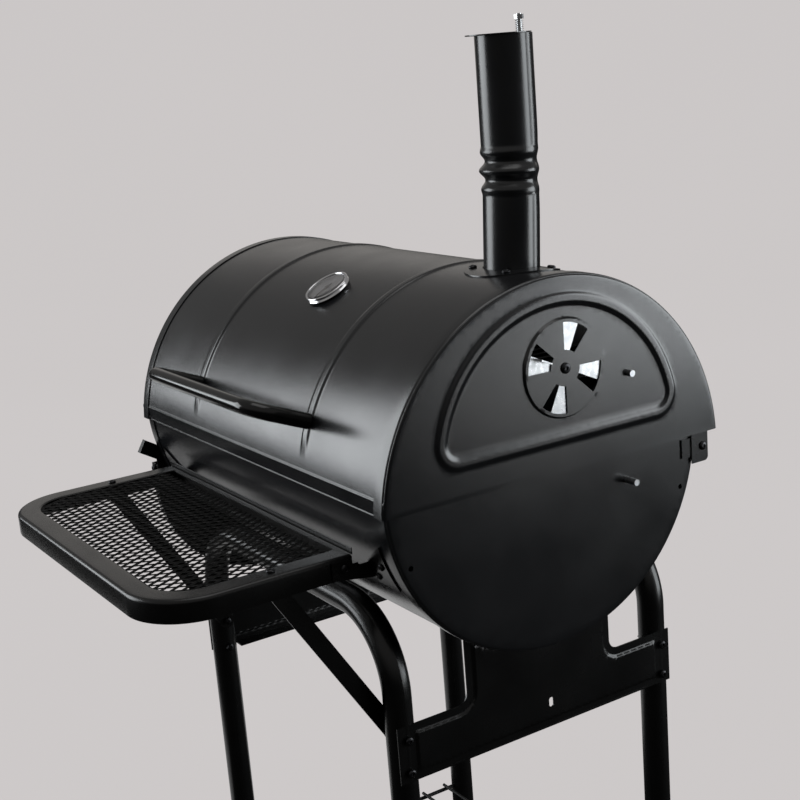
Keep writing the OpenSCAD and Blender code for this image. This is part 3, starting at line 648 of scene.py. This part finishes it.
def on_lid(degrees, x=0.0):
    """A frame on the lid's skin at an angle above the front, Z pointing out."""
    centre = Matrix.Translation((x, LID_Y, LID_Z))
    turn = Matrix.Rotation(math.radians(90 - degrees), 4, "X")
    return centre @ turn @ Matrix.Translation((0, 0, LID_SKIN))


def hoop_path(half, top, bend, low):
    """An inverted U of points in X and Z."""
    right = [Vector((half, 0, low)), Vector((half, 0, low + (top - bend - low) * 0.5))]
    for k in range(13):
        a = math.pi / 2 * k / 12
        right.append(Vector((half - bend + bend * math.cos(a), 0, top - bend + bend * math.sin(a))))
    left = [Vector((-p.x, p.y, p.z)) for p in right[::-1]]
    middle = [Vector((half - bend, 0, top)).lerp(Vector((bend - half, 0, top)), k / 10) for k in range(1, 10)]
    return right + middle + left


def handle():
    """The bar's feet stand on the two ribs."""
    place = on_lid(22)
    path = [place @ p for p in hoop_path(RIB_X, HANDLE_RISE, HANDLE_BEND, RIB_RISE + 0.0001)]
    obj = tube_along("handle_tube", path, HANDLE_R, GLOSS, 28)
    use_for(obj, "lid", "gloss_tube", "handle")


handle()


# ---- Front shelf ----

SHELF_W = 0.506
SHELF_D = 0.243
SHELF_CORNER = 0.075
SHELF_BACK = AXIS_Y - 0.229
SHELF_Z = AXIS_Z - 0.072
SHELF_SKIRT = 0.027
BACK_RIM_SHARE = 0.17
DIAMOND_X = 0.0132
DIAMOND_Y = 0.0228
STRAND_W = 0.0023
STRAND_T = 0.0012


def shelf_outline(inset):
    """Rounded front corners and nearly square back ones, as equal lists for every inset."""
    half = SHELF_W / 2 - inset
    front = SHELF_BACK - SHELF_D + inset
    back = SHELF_BACK - min(inset, 0.005 + (inset - 0.005) * BACK_RIM_SHARE)
    points = []
    for sx, y, r, start in ((1, front, SHELF_CORNER, -90), (1, back, 0.006, 0),
                            (-1, back, 0.006, 90), (-1, front, SHELF_CORNER, 180)):
        r = max(r - inset, 0.0008)
        cy = y + r if y == front else y - r
        for k in range(25):
            a = math.radians(start + 90 * k / 24)
            points.append((sx * (half - r) + r * math.cos(a), cy + r * math.sin(a)))
    return points


def shelf_rim():
    """A pressed rim: a fold down round the window, a flat top, a rounded edge and a deep skirt."""
    profile = [(0.0292, -0.0032), (0.0292, -0.0010), (0.0280, -0.0002), (0.0262, 0.0)]
    profile += [(0.0262 - 0.0212 * k / 4, 0.0) for k in range(1, 4)]
    profile += [(0.005 - 0.005 * math.sin(a), 0.005 * math.cos(a) - 0.005)
                for a in (math.pi / 2 * k / 8 for k in range(9))]
    profile += [(0.0, -SHELF_SKIRT + 0.0012), (0.0004, -SHELF_SKIRT), (0.0030, -SHELF_SKIRT)]
    rings = [[Vector((x, y, SHELF_Z + z)) for x, y in shelf_outline(inset)] for inset, z in profile]
    obj = make_object("shelf_rim_sheet", *loft(rings), DARK)
    thicken(obj, SHEET)
    sharpen(obj, 40)
    use_for(obj, "stand", "dark_coat", "shelf_rim")
    back_strip()


def back_strip():
    """A narrow strip turned up along the bowl, folded over a little at its top."""
    builder = Builder()
    half = SHELF_W / 2 - 0.002
    y = SHELF_BACK - 0.0009
    top = SHELF_Z + 0.0062
    builder.block((-half, y - 0.0005, SHELF_Z - 0.001), (half, y + 0.0005, top - 0.0004))
    builder.rod((-half, y, top), (half, y, top), 0.0007)
    obj = builder.finish("shelf_back_strip", DARK)
    use_for(obj, "stand", "dark_coat")


def strand(builder, a, b, width, thick, tilt):
    """One flat strand of expanded metal, turned about its own length."""
    ahead = (b - a).normalized()
    up = Matrix.Rotation(tilt, 3, ahead) @ Vector((0, 0, 1))
    across = ahead.cross(up).normalized() * width / 2
    up = up * thick / 2
    reach = ahead * width * 0.35
    a, b = a - reach, b + reach
    verts = [p + s * across + t * up for p in (a, b) for s, t in ((-1, -1), (1, -1), (1, 1), (-1, 1))]
    faces = [(0, 1, 2, 3), (4, 7, 6, 5), (0, 4, 5, 1), (1, 5, 6, 2), (2, 6, 7, 3), (3, 7, 4, 0)]
    builder.add(verts, faces)


def expanded_mesh():
    """Slanted flat strands round diamonds that are longest front to back."""
    half_x, half_y = DIAMOND_X / 2, DIAMOND_Y / 2
    builder = Builder()
    edge = shelf_outline(0.025)
    mid_y = SHELF_BACK - SHELF_D / 2
    z = SHELF_Z - 0.0025
    for i in range(-37, 38):
        for j in range(-11, 12):
            if (i + j) % 2:
                continue
            a = Vector((i * half_x, mid_y + j * half_y, z))
            for step in (1, -1):
                b = a + Vector((step * half_x, half_y, 0))
                if in_loop(edge, (a.x, a.y)) and in_loop(edge, (b.x, b.y)):
                    strand(builder, a, b, STRAND_W, STRAND_T, math.radians(-30) * step)
    obj = builder.finish("shelf_mesh_strands", WIRE, 20)
    use_for(obj, "stand", "enamel_wire", "shelf_mesh")


shelf_rim()
expanded_mesh()


# ---- Fasteners ----

def islands(node):
    """The separate solids of a CAD node, each as a list of points."""
    mesh = frame["nodes"][node].data
    keys = [tuple(round(c, 6) for c in v.co) for v in mesh.vertices]
    parent = {k: k for k in keys}

    def root(k):
        while parent[k] != k:
            parent[k] = parent[parent[k]]
            k = parent[k]
        return k

    for face in mesh.polygons:
        first = root(keys[face.vertices[0]])
        for i in face.vertices[1:]:
            parent[root(keys[i])] = first
    groups = {}
    for k in set(keys):
        groups.setdefault(root(k), []).append(Vector(k))
    return [groups[k] for k in sorted(groups)]


def turning_axis(points):
    """Centre and axis of a solid that is round, or six-sided, about one axis."""
    centre = sum(points, Vector()) / len(points)
    spread = np.array([p - centre for p in points])
    values, vectors = np.linalg.eigh(spread.T @ spread)
    odd = max(range(3), key=lambda i: min(abs(values[i] - values[j]) for j in range(3) if j != i))
    return centre, Vector(vectors[:, odd]).normalized()


def measured(points):
    """Heights and radii of a turned solid; the wider end comes last."""
    centre, axis = turning_axis(points)
    heights = [(p - centre).dot(axis) for p in points]
    radii = [(p - centre - axis * h).length for p, h in zip(points, heights)]
    low, high = min(heights), max(heights)
    at_low = max(r for r, h in zip(radii, heights) if h < low + 1e-4)
    at_high = max(r for r, h in zip(radii, heights) if h > high - 1e-4)
    if at_low > at_high + 1e-5:
        axis = -axis
        heights = [-h for h in heights]
        low, high = -high, -low
        at_low, at_high = at_high, at_low
    frame_matrix = Matrix.Translation(centre) @ axis.to_track_quat("Z", "Y").to_matrix().to_4x4()
    head = min(h for r, h in zip(radii, heights) if r > at_high - 1e-4)
    return frame_matrix, low, high, at_low, at_high, head


def threaded(r, low, high):
    """Profile of a shank with ridges over its last few millimetres."""
    profile = [(r * 0.7, low), (r, low + r * 0.3)]
    h = low + r * 0.3
    while h < min(low + 0.008, high - 0.001):
        profile += [(r * 0.85, h + 0.0005), (r, h + 0.001)]
        h += 0.001
    return profile + [(r, high)]


def domed_head(r, base, top):
    """Pan head with a socket sunk in the middle."""
    t = top - base
    profile = [(r * 0.96, base), (r, base + t * 0.12), (r, base + t * 0.3)]
    profile += [(r * (0.42 + 0.58 * math.cos(a)), base + t * (0.3 + 0.7 * math.sin(a)))
                for a in (math.pi / 2 * k / 7 for k in range(1, 8))]
    return profile + [(r * 0.38, top - t * 0.08), (r * 0.34, top - t * 0.55), (r * 0.05, top - t * 0.6)]


def fasteners(node, body):
    """Threaded bolts with domed heads, and chamfered nuts, over each solid of the node."""
    builder = Builder()
    for points in islands(node):
        place, low, high, small, wide, head = measured(points)
        if wide - small > 1e-4:
            builder.lathe(place, threaded(small, low, head) + domed_head(wide, head, high), 28)
        else:
            bevel = wide * 0.12
            profile = [(wide - bevel, low), (wide, low + bevel * 0.6), (wide, high - bevel * 0.6),
                       (wide - bevel, high)]
            builder.lathe(place, profile, 6 if high - low > 0.003 else 28)
    obj = builder.finish(node + "_turned", BLACK_BOLT)
    use_for(obj, body, "black_fasteners", node)


STAND_BOLTS = ("hinge_bolts", "panel_bolts", "cradle_bolts", "shelf_bolts", "brace_bolts", "side_table_bolts")
LID_BOLTS = ("chimney_screws", "handle_screws", "vent_bolt")
for bolts in STAND_BOLTS:
    fasteners(bolts, "stand")
for bolts in LID_BOLTS:
    fasteners(bolts, "lid")


# ---- Stand ----

PANEL_X = 0.2627
PANEL_T = 0.002
PANEL_LOW = AXIS_Z - 0.369
PANEL_ARM = AXIS_Z - 0.296
PANEL_HALF = ARCH_Y + 0.014
NECK_HALF = 0.112
CRADLE_R = BOWL_R - 0.0008
FIELD_HALF = 0.190
FIELD_RISE = 0.0024
SEAT_X = PANEL_X - 0.024
SLOT_MID = (FRAME_Y + 0.012, AXIS_Z - 0.335)
SLOT_R = 0.0035
SLOT_HALF = 0.003


def panel_outline():
    """Arms to both legs, a neck with rounded inside corners, and a round seat under the bowl."""
    fillet = 0.014
    right = [(PANEL_HALF, PANEL_LOW), (PANEL_HALF, PANEL_ARM)]
    for k in range(9):
        a = -math.pi / 2 - math.pi / 2 * k / 8
        right.append((NECK_HALF + fillet + fillet * math.cos(a), PANEL_ARM + fillet + fillet * math.sin(a)))
    left = [(-y, z) for y, z in right[::-1]]
    first = math.acos((FRAME_Y + NECK_HALF - AXIS_Y) / CRADLE_R)
    last = math.acos((FRAME_Y - NECK_HALF - AXIS_Y) / CRADLE_R)
    seat = [(AXIS_Y - FRAME_Y + CRADLE_R * math.cos(a), AXIS_Z - CRADLE_R * math.sin(a))
            for a in (first + (last - first) * k / 30 for k in range(31))]
    return [(FRAME_Y + y, z) for y, z in right + seat + left]


def edge_distance(loop, p):
    """Distance from a 2D point to the nearest edge of a loop."""
    best = 1.0
    for (ay, az), (by, bz) in zip(loop, loop[1:] + loop[:1]):
        dy, dz = by - ay, bz - az
        t = ((p[0] - ay) * dy + (p[1] - az) * dz) / (dy * dy + dz * dz)
        t = min(max(t, 0), 1)
        best = min(best, math.hypot(p[0] - ay - t * dy, p[1] - az - t * dz))
    return best


def along_edges(loop, offsets, pitch):
    """Points inside a loop at given distances from its edges."""
    points = []
    for (ay, az), (by, bz) in zip(loop, loop[1:] + loop[:1]):
        length = math.hypot(by - ay, bz - az)
        ny, nz = -(bz - az) / length, (by - ay) / length
        steps = max(int(length / pitch), 1)
        for k in range(steps):
            t = (k + 0.5) / steps
            points += [(ay + t * (by - ay) + ny * d, az + t * (bz - az) + nz * d) for d in offsets]
    return points


def slot_points():
    """The upright slot near the middle of a panel."""
    points = []
    for k in range(20):
        a = 2 * math.pi * (k + 0.5) / 20
        end = SLOT_HALF if math.sin(a) > 0 else -SLOT_HALF
        points.append((SLOT_MID[0] + SLOT_R * math.cos(a), SLOT_MID[1] + SLOT_R * math.sin(a) + end))
    return points


def end_panel(side):
    """A pressed end panel with a raised field that stays clear of the bolts."""
    loop = panel_outline()

    def field(y, z):
        inside = min(edge_distance(loop, (y, z)), FIELD_HALF - abs(y - FRAME_Y) + 0.010)
        return FIELD_RISE * smooth_step(0.010, 0.0135, inside)

    extra = along_edges(loop, [0.009 + 0.0009 * k for k in range(7)], 0.004)
    for k in range(7):
        for end in (-1, 1):
            y = FRAME_Y + end * (FIELD_HALF + 0.001 - 0.0009 * k)
            extra += [(y, PANEL_LOW + 0.004 * j) for j in range(19)]
    flat, faces = face_triangles(loop, [slot_points()], extra, 0.006)
    front = PANEL_X + PANEL_T - FIELD_RISE
    verts = [Vector((side * (front + field(v[0], v[1])), v[0], v[1])) for v in flat]
    name = "right_end_panel" if side > 0 else "left_end_panel"
    obj = make_object(name + "_sheet", verts, faces, DARK)
    thicken(obj, 0.0016)
    sharpen(obj, 40)
    use_for(obj, "stand", "dark_coat", name)
    panel_flanges(side, name)


def panel_flanges(side, name):
    """The seat turned in under the bowl and the stiffening flange along the bottom."""
    builder = Builder()
    angles = [math.radians(248 + 53 * k / 40) for k in range(41)]
    strip = []
    for x, r in ((SEAT_X, 0.0003), (PANEL_X, 0.0003), (PANEL_X, 0.0019), (SEAT_X, 0.0019)):
        strip.append([radial(AXIS_Y, AXIS_Z, CRADLE_R + r, a, side * x) for a in angles])
    builder.add(*loft(strip, closed_ring=False, closed_path=True))
    half = ARCH_Y - TUBE_R - 0.008
    builder.block((side * (PANEL_X - 0.020), FRAME_Y - half, PANEL_LOW + 0.0003),
                  (side * (PANEL_X + 0.0002), FRAME_Y + half, PANEL_LOW + 0.0021))
    obj = builder.finish(name + "_flanges", DARK)
    use_for(obj, "stand", "dark_coat")


end_panel(1)
end_panel(-1)


# ---- Wheels ----

WHEEL_R = 0.070
WHEEL_W = 0.032
AXLE_BORE = 0.0051
WHEEL_GAP = ARCH_Y + TUBE_R + 0.003


def tread_profile():
    """Bevelled shoulders and seven grooves, as (radius, height)."""
    grooves = 7
    step = (WHEEL_W - 0.010) / grooves
    profile = [(WHEEL_R - 0.014, 0.002), (WHEEL_R - 0.006, 0.002), (WHEEL_R - 0.002, 0.004)]
    for k in range(grooves):
        z = 0.005 + step * k
        profile += [(WHEEL_R, z + step * 0.15), (WHEEL_R, z + step * 0.75)]
        profile.append((WHEEL_R - 0.0012, z + step * 0.9))
    profile += [(WHEEL_R - 0.002, WHEEL_W - 0.004), (WHEEL_R - 0.006, WHEEL_W - 0.002)]
    return profile + [(WHEEL_R - 0.014, WHEEL_W - 0.002)]


def hub_profile():
    """A hub with a bore for the axle and a thin web out to the tread, as (radius, height)."""
    middle = WHEEL_W / 2
    web_end = WHEEL_R - 0.013
    profile = [(AXLE_BORE, 0.0), (0.014, 0.0), (0.015, 0.001)]
    profile += [(0.015, middle - 0.002), (web_end, middle - 0.002)]
    profile += [(web_end, middle + 0.002), (0.015, middle + 0.002)]
    return profile + [(0.015, WHEEL_W - 0.001), (0.014, WHEEL_W), (AXLE_BORE, WHEEL_W)]


def spoked_wheel(name, at_y, out):
    """A moulded wheel: ribbed tread, thin web with six spokes, and a hub; out is the way its face looks."""
    place = Matrix.Translation((LEG_X, at_y, WHEEL_R)) @ Matrix.Rotation(-out * math.pi / 2, 4, "X")
    wheel = Builder()
    wheel.add(*loft(turned(place, tread_profile(), 96), closed_path=True))
    wheel.add(*loft(turned(place, hub_profile(), 48), closed_path=True))
    for k in range(6):
        turn = place @ Matrix.Rotation(math.pi / 3 * k, 4, "Z")
        wheel.block((0.0145, -0.0025, 0.004), (WHEEL_R - 0.0135, 0.0025, WHEEL_W - 0.004), turn)
    obj = wheel.finish(name + "_moulding", PLASTIC)
    use_for(obj, name, "wheel_plastic", name)


spoked_wheel("wheel_front", FRAME_Y - WHEEL_GAP, -1)
spoked_wheel("wheel_rear", FRAME_Y + WHEEL_GAP, 1)


# ---- Wire racks and grates ----

GRATE_Z = AXIS_Z - 0.030
GRATE_END = 0.204
RACK_Z = AXIS_Z - 0.734
FRAME_WIRE_R = 0.003
CROSS_WIRE_R = 0.0025


def grate(side):
    """Round wires welded to a rectangular frame."""
    builder = Builder()
    front, back = AXIS_Y - GRATE_END, AXIS_Y + GRATE_END
    z = GRATE_Z + FRAME_WIRE_R
    for x in (side * 0.006, side * 0.306):
        builder.rod((x, front, z), (x, back, z), FRAME_WIRE_R)
    for y in (front + FRAME_WIRE_R, back - FRAME_WIRE_R):
        builder.rod((side * 0.0035, y, z), (side * 0.3085, y, z), FRAME_WIRE_R)
    for k in range(18):
        x = side * (0.022 + 0.016 * k)
        builder.rod((x, front, GRATE_Z + 0.004), (x, back, GRATE_Z + 0.004), CROSS_WIRE_R)
    name = "right" if side > 0 else "left"
    obj = builder.finish("cooking_grate_" + name + "_wires", WIRE)
    use_for(obj, "grate_" + name, "enamel_wire", "cooking_grate_" + name)


def bottom_rack():
    """Two rods between the legs and nine wires across them."""
    builder = Builder()
    reach = ARCH_Y - TUBE_R + 0.005
    half = LEG_X + 0.008
    for x in (-LEG_X, LEG_X):
        builder.rod((x, FRAME_Y - reach, RACK_Z), (x, FRAME_Y + reach, RACK_Z), FRAME_WIRE_R)
    for k in range(9):
        y = FRAME_Y - 0.168 + 0.042 * k
        builder.rod((-half, y, RACK_Z + 0.004), (half, y, RACK_Z + 0.004), CROSS_WIRE_R)
    obj = builder.finish("bottom_rack_wires", WIRE)
    use_for(obj, "stand", "enamel_wire", "bottom_rack")


grate(1)
grate(-1)
bottom_rack()


# ---- Lid thermometer ----

GAUGE = on_lid(62, 0.022)


def gauge_case():
    """A chrome cup with a rolled rim, on a hollow stem."""
    rim = [(0.0265 + 0.00175 + 0.00175 * math.cos(a), 0.0064 + 0.0018 * math.sin(a))
           for a in (math.pi * k / 12 for k in range(13))]
    cup = [(0.0300, 0.0022), (0.0292, 0.0014), (0.0060, 0.0014), (0.0060, -0.012), (0.0030, -0.012),
           (0.0030, -0.069), (0.0004, -0.070), (0.0004, 0.0030), (0.0262, 0.0030), (0.0265, 0.0034)]
    rings = turned(GAUGE, rim[::-1] + cup[::-1], 96)
    case = make_object("thermometer_cup", *loft(rings, closed_path=True), CHROME)
    sharpen(case, 30)
    use_for(case, "lid", "bezel", "thermometer_case")


def gauge_dial():
    """A flat dial with raised ticks along three quarters of its edge, and a post for the needle."""
    builder = Builder()
    builder.lathe(GAUGE, [(0.0001, 0.0033), (0.0269, 0.0033), (0.0269, 0.0041), (0.0001, 0.0041)], 72)
    dial = builder.finish("thermometer_face", DIAL)
    use_for(dial, "lid", "dial", "thermometer_dial")
    marks = Builder()
    marks.lathe(GAUGE, [(0.0001, 0.0041), (0.0010, 0.0041), (0.0010, 0.0059), (0.0001, 0.0059)], 20)
    for k in range(31):
        turn = GAUGE @ Matrix.Rotation(math.radians(-225 + 9 * k), 4, "Z")
        long = 0.0045 if k % 5 == 0 else 0.0024
        marks.block((0.0245 - long, -0.0003, 0.0040), (0.0245, 0.0003, 0.00425), turn)
    ticks = marks.finish("thermometer_ticks", NEEDLE)
    use_for(ticks, "lid", "dial")


def gauge_glass():
    """A slightly domed glass."""
    glass = Builder()
    angles = [math.pi / 2 * k / 10 for k in range(10)]
    dome = [(0.0001, 0.0062), (0.0262, 0.0062)]
    dome += [(0.0262 * math.cos(a), 0.0066 + 0.0011 * math.sin(a)) for a in angles]
    glass.lathe(GAUGE, dome, 72)
    obj = glass.finish("thermometer_lens", GLASS)
    use_for(obj, "lid", "glass", "thermometer_glass")


gauge_case()
gauge_dial()
gauge_glass()


# ---- CAD pieces that keep their own mesh ----

def finish_cad_nodes():
    """Every CAD node gets the material of its slot; nodes that a piece replaces stay hidden."""
    slots = {part["node"]: part["material_slot"] for part in frame["record"]["subparts"]}
    for name, obj in frame["nodes"].items():
        obj.data.materials.clear()
        obj.data.materials.append(SLOT_MATERIALS[slots[name]])
        for face in obj.data.polygons:
            face.material_index = 0


finish_cad_nodes()


# ---- Studio ----

PAPER = (0.615, 0.588, 0.586)


def paper_material():
    """Evenly lit paper: mostly its own soft glow, so that it stays one plain tone behind the grill."""
    material, tree, shader = new_material("studio_paper")
    low = tuple(c * 0.99 for c in PAPER)
    colour = mix_colours(tree, noise_ramp(tree, 0.6, 0, 1), low, PAPER)
    tree.links.new(colour, shader.inputs["Emission Color"])
    shader.inputs["Emission Strength"].default_value = 0.97
    shader.inputs["Base Color"].default_value = (0.03, 0.029, 0.029, 1)
    shader.inputs["Roughness"].default_value = 1.0
    shader.inputs["Specular IOR Level"].default_value = 0.0
    return material


def studio():
    """A pale floor that curves up into a round backdrop on every side."""
    profile = [(0.4, 0.0), (4.0, 0.0)]
    profile += [(6 + 2 * math.sin(a), 2 - 2 * math.cos(a)) for a in (math.pi / 2 * k / 16 for k in range(17))]
    profile += [(8.0, 3.0), (8.0, 7.0)]
    verts, faces = loft(turned(Matrix(), profile, 96))
    faces.append(tuple(range(96)))
    obj = make_object("studio_floor", verts, faces, paper_material())
    sharpen(obj, 60)
    obj.visible_diffuse = False
    obj.visible_glossy = False


def softbox(name, place, target, size, power, colour=(1, 1, 1), roll=0.0):
    """A rectangular lamp aimed at a point and rolled by some degrees; the camera doesn't see it."""
    data = bpy.data.lights.new(name, "AREA")
    data.shape = "RECTANGLE"
    data.size, data.size_y = size
    data.energy = power
    data.color = colour
    lamp = bpy.data.objects.new(name, data)
    bpy.context.scene.collection.objects.link(lamp)
    aim = (Vector(target) - Vector(place)).to_track_quat("-Z", "Y").to_matrix().to_4x4()
    lamp.matrix_world = Matrix.Translation(place) @ aim @ Matrix.Rotation(math.radians(roll), 4, "Z")
    lamp.visible_camera = False


def room():
    """Dim air, lighter above the horizon than below it."""
    world = bpy.data.worlds.new("studio_air")
    world.use_nodes = True
    tree = world.node_tree
    coords = tree.nodes.new("ShaderNodeTexCoord")
    parts = tree.nodes.new("ShaderNodeSeparateXYZ")
    ramp = tree.nodes.new("ShaderNodeMapRange")
    ramp.inputs["From Min"].default_value = -0.05
    ramp.inputs["From Max"].default_value = 0.35
    ramp.inputs["To Min"].default_value = 0.02
    ramp.inputs["To Max"].default_value = 0.24
    background = tree.nodes["Background"]
    background.inputs["Color"].default_value = (1.0, 0.98, 0.96, 1)
    tree.links.new(coords.outputs["Generated"], parts.inputs["Vector"])
    tree.links.new(parts.outputs["Z"], ramp.inputs["Value"])
    tree.links.new(ramp.outputs["Result"], background.inputs["Strength"])
    bpy.context.scene.world = world


def lighting():
    """A tall soft panel at the front left and another at the back right, over a dim room."""
    cool = (0.93, 0.97, 1.0)
    right_end = (0.33, 0.1, 0.9)
    lid_front = (0.1, -0.1, 0.85)
    softbox("right_back_panel", (2.25, 3.15, 1.15), right_end, (2.6, 2.2), 78, (0.92, 0.97, 1.0))
    softbox("right_kicker", (2.46, 1.65, 0.32), right_end, (0.5, 0.4), 1)
    softbox("left_front_panel", (-2.75, -2.93, 1.65), lid_front, (2.6, 2.7), 100, cool, -19)
    softbox("back_left_panel", (-3.9, 2.6, 2.0), (0, 0.1, 0.9), (4.6, 1.8), 8, (1.0, 0.95, 0.90))
    softbox("left_floor_glow", (-1.6, 0.4, 0.02), (-1.6, 0.4, 2.0), (2.4, 2.0), 8)
    softbox("overhead", (0.4, 0.4, 4.4), (0, 0.1, 0), (2.4, 2.4), 20)


CAMERA_PLACE = (1.5424, -0.8485, 1.2803)
CAMERA_HEADING = math.radians(57.62)
CAMERA_TILT = math.radians(90 - 13.84)
CAMERA_ROLL = math.radians(-4.44)


def camera():
    """The camera that took the photo, as near as it can be told from the grill's own shape."""
    data = bpy.data.cameras.new("photo_camera")
    data.sensor_width = 36
    data.lens = 62.42
    data.shift_x = -0.0237
    data.shift_y = 0.0017
    obj = bpy.data.objects.new("photo_camera", data)
    bpy.context.scene.collection.objects.link(obj)
    turn = Matrix.Rotation(CAMERA_HEADING, 4, "Z") @ Matrix.Rotation(CAMERA_TILT, 4, "X")
    obj.matrix_world = Matrix.Translation(CAMERA_PLACE) @ turn @ Matrix.Rotation(CAMERA_ROLL, 4, "Z")
    bpy.context.scene.camera = obj
    bpy.context.scene.view_settings.view_transform = "Standard"


studio()
room()
lighting()
camera()
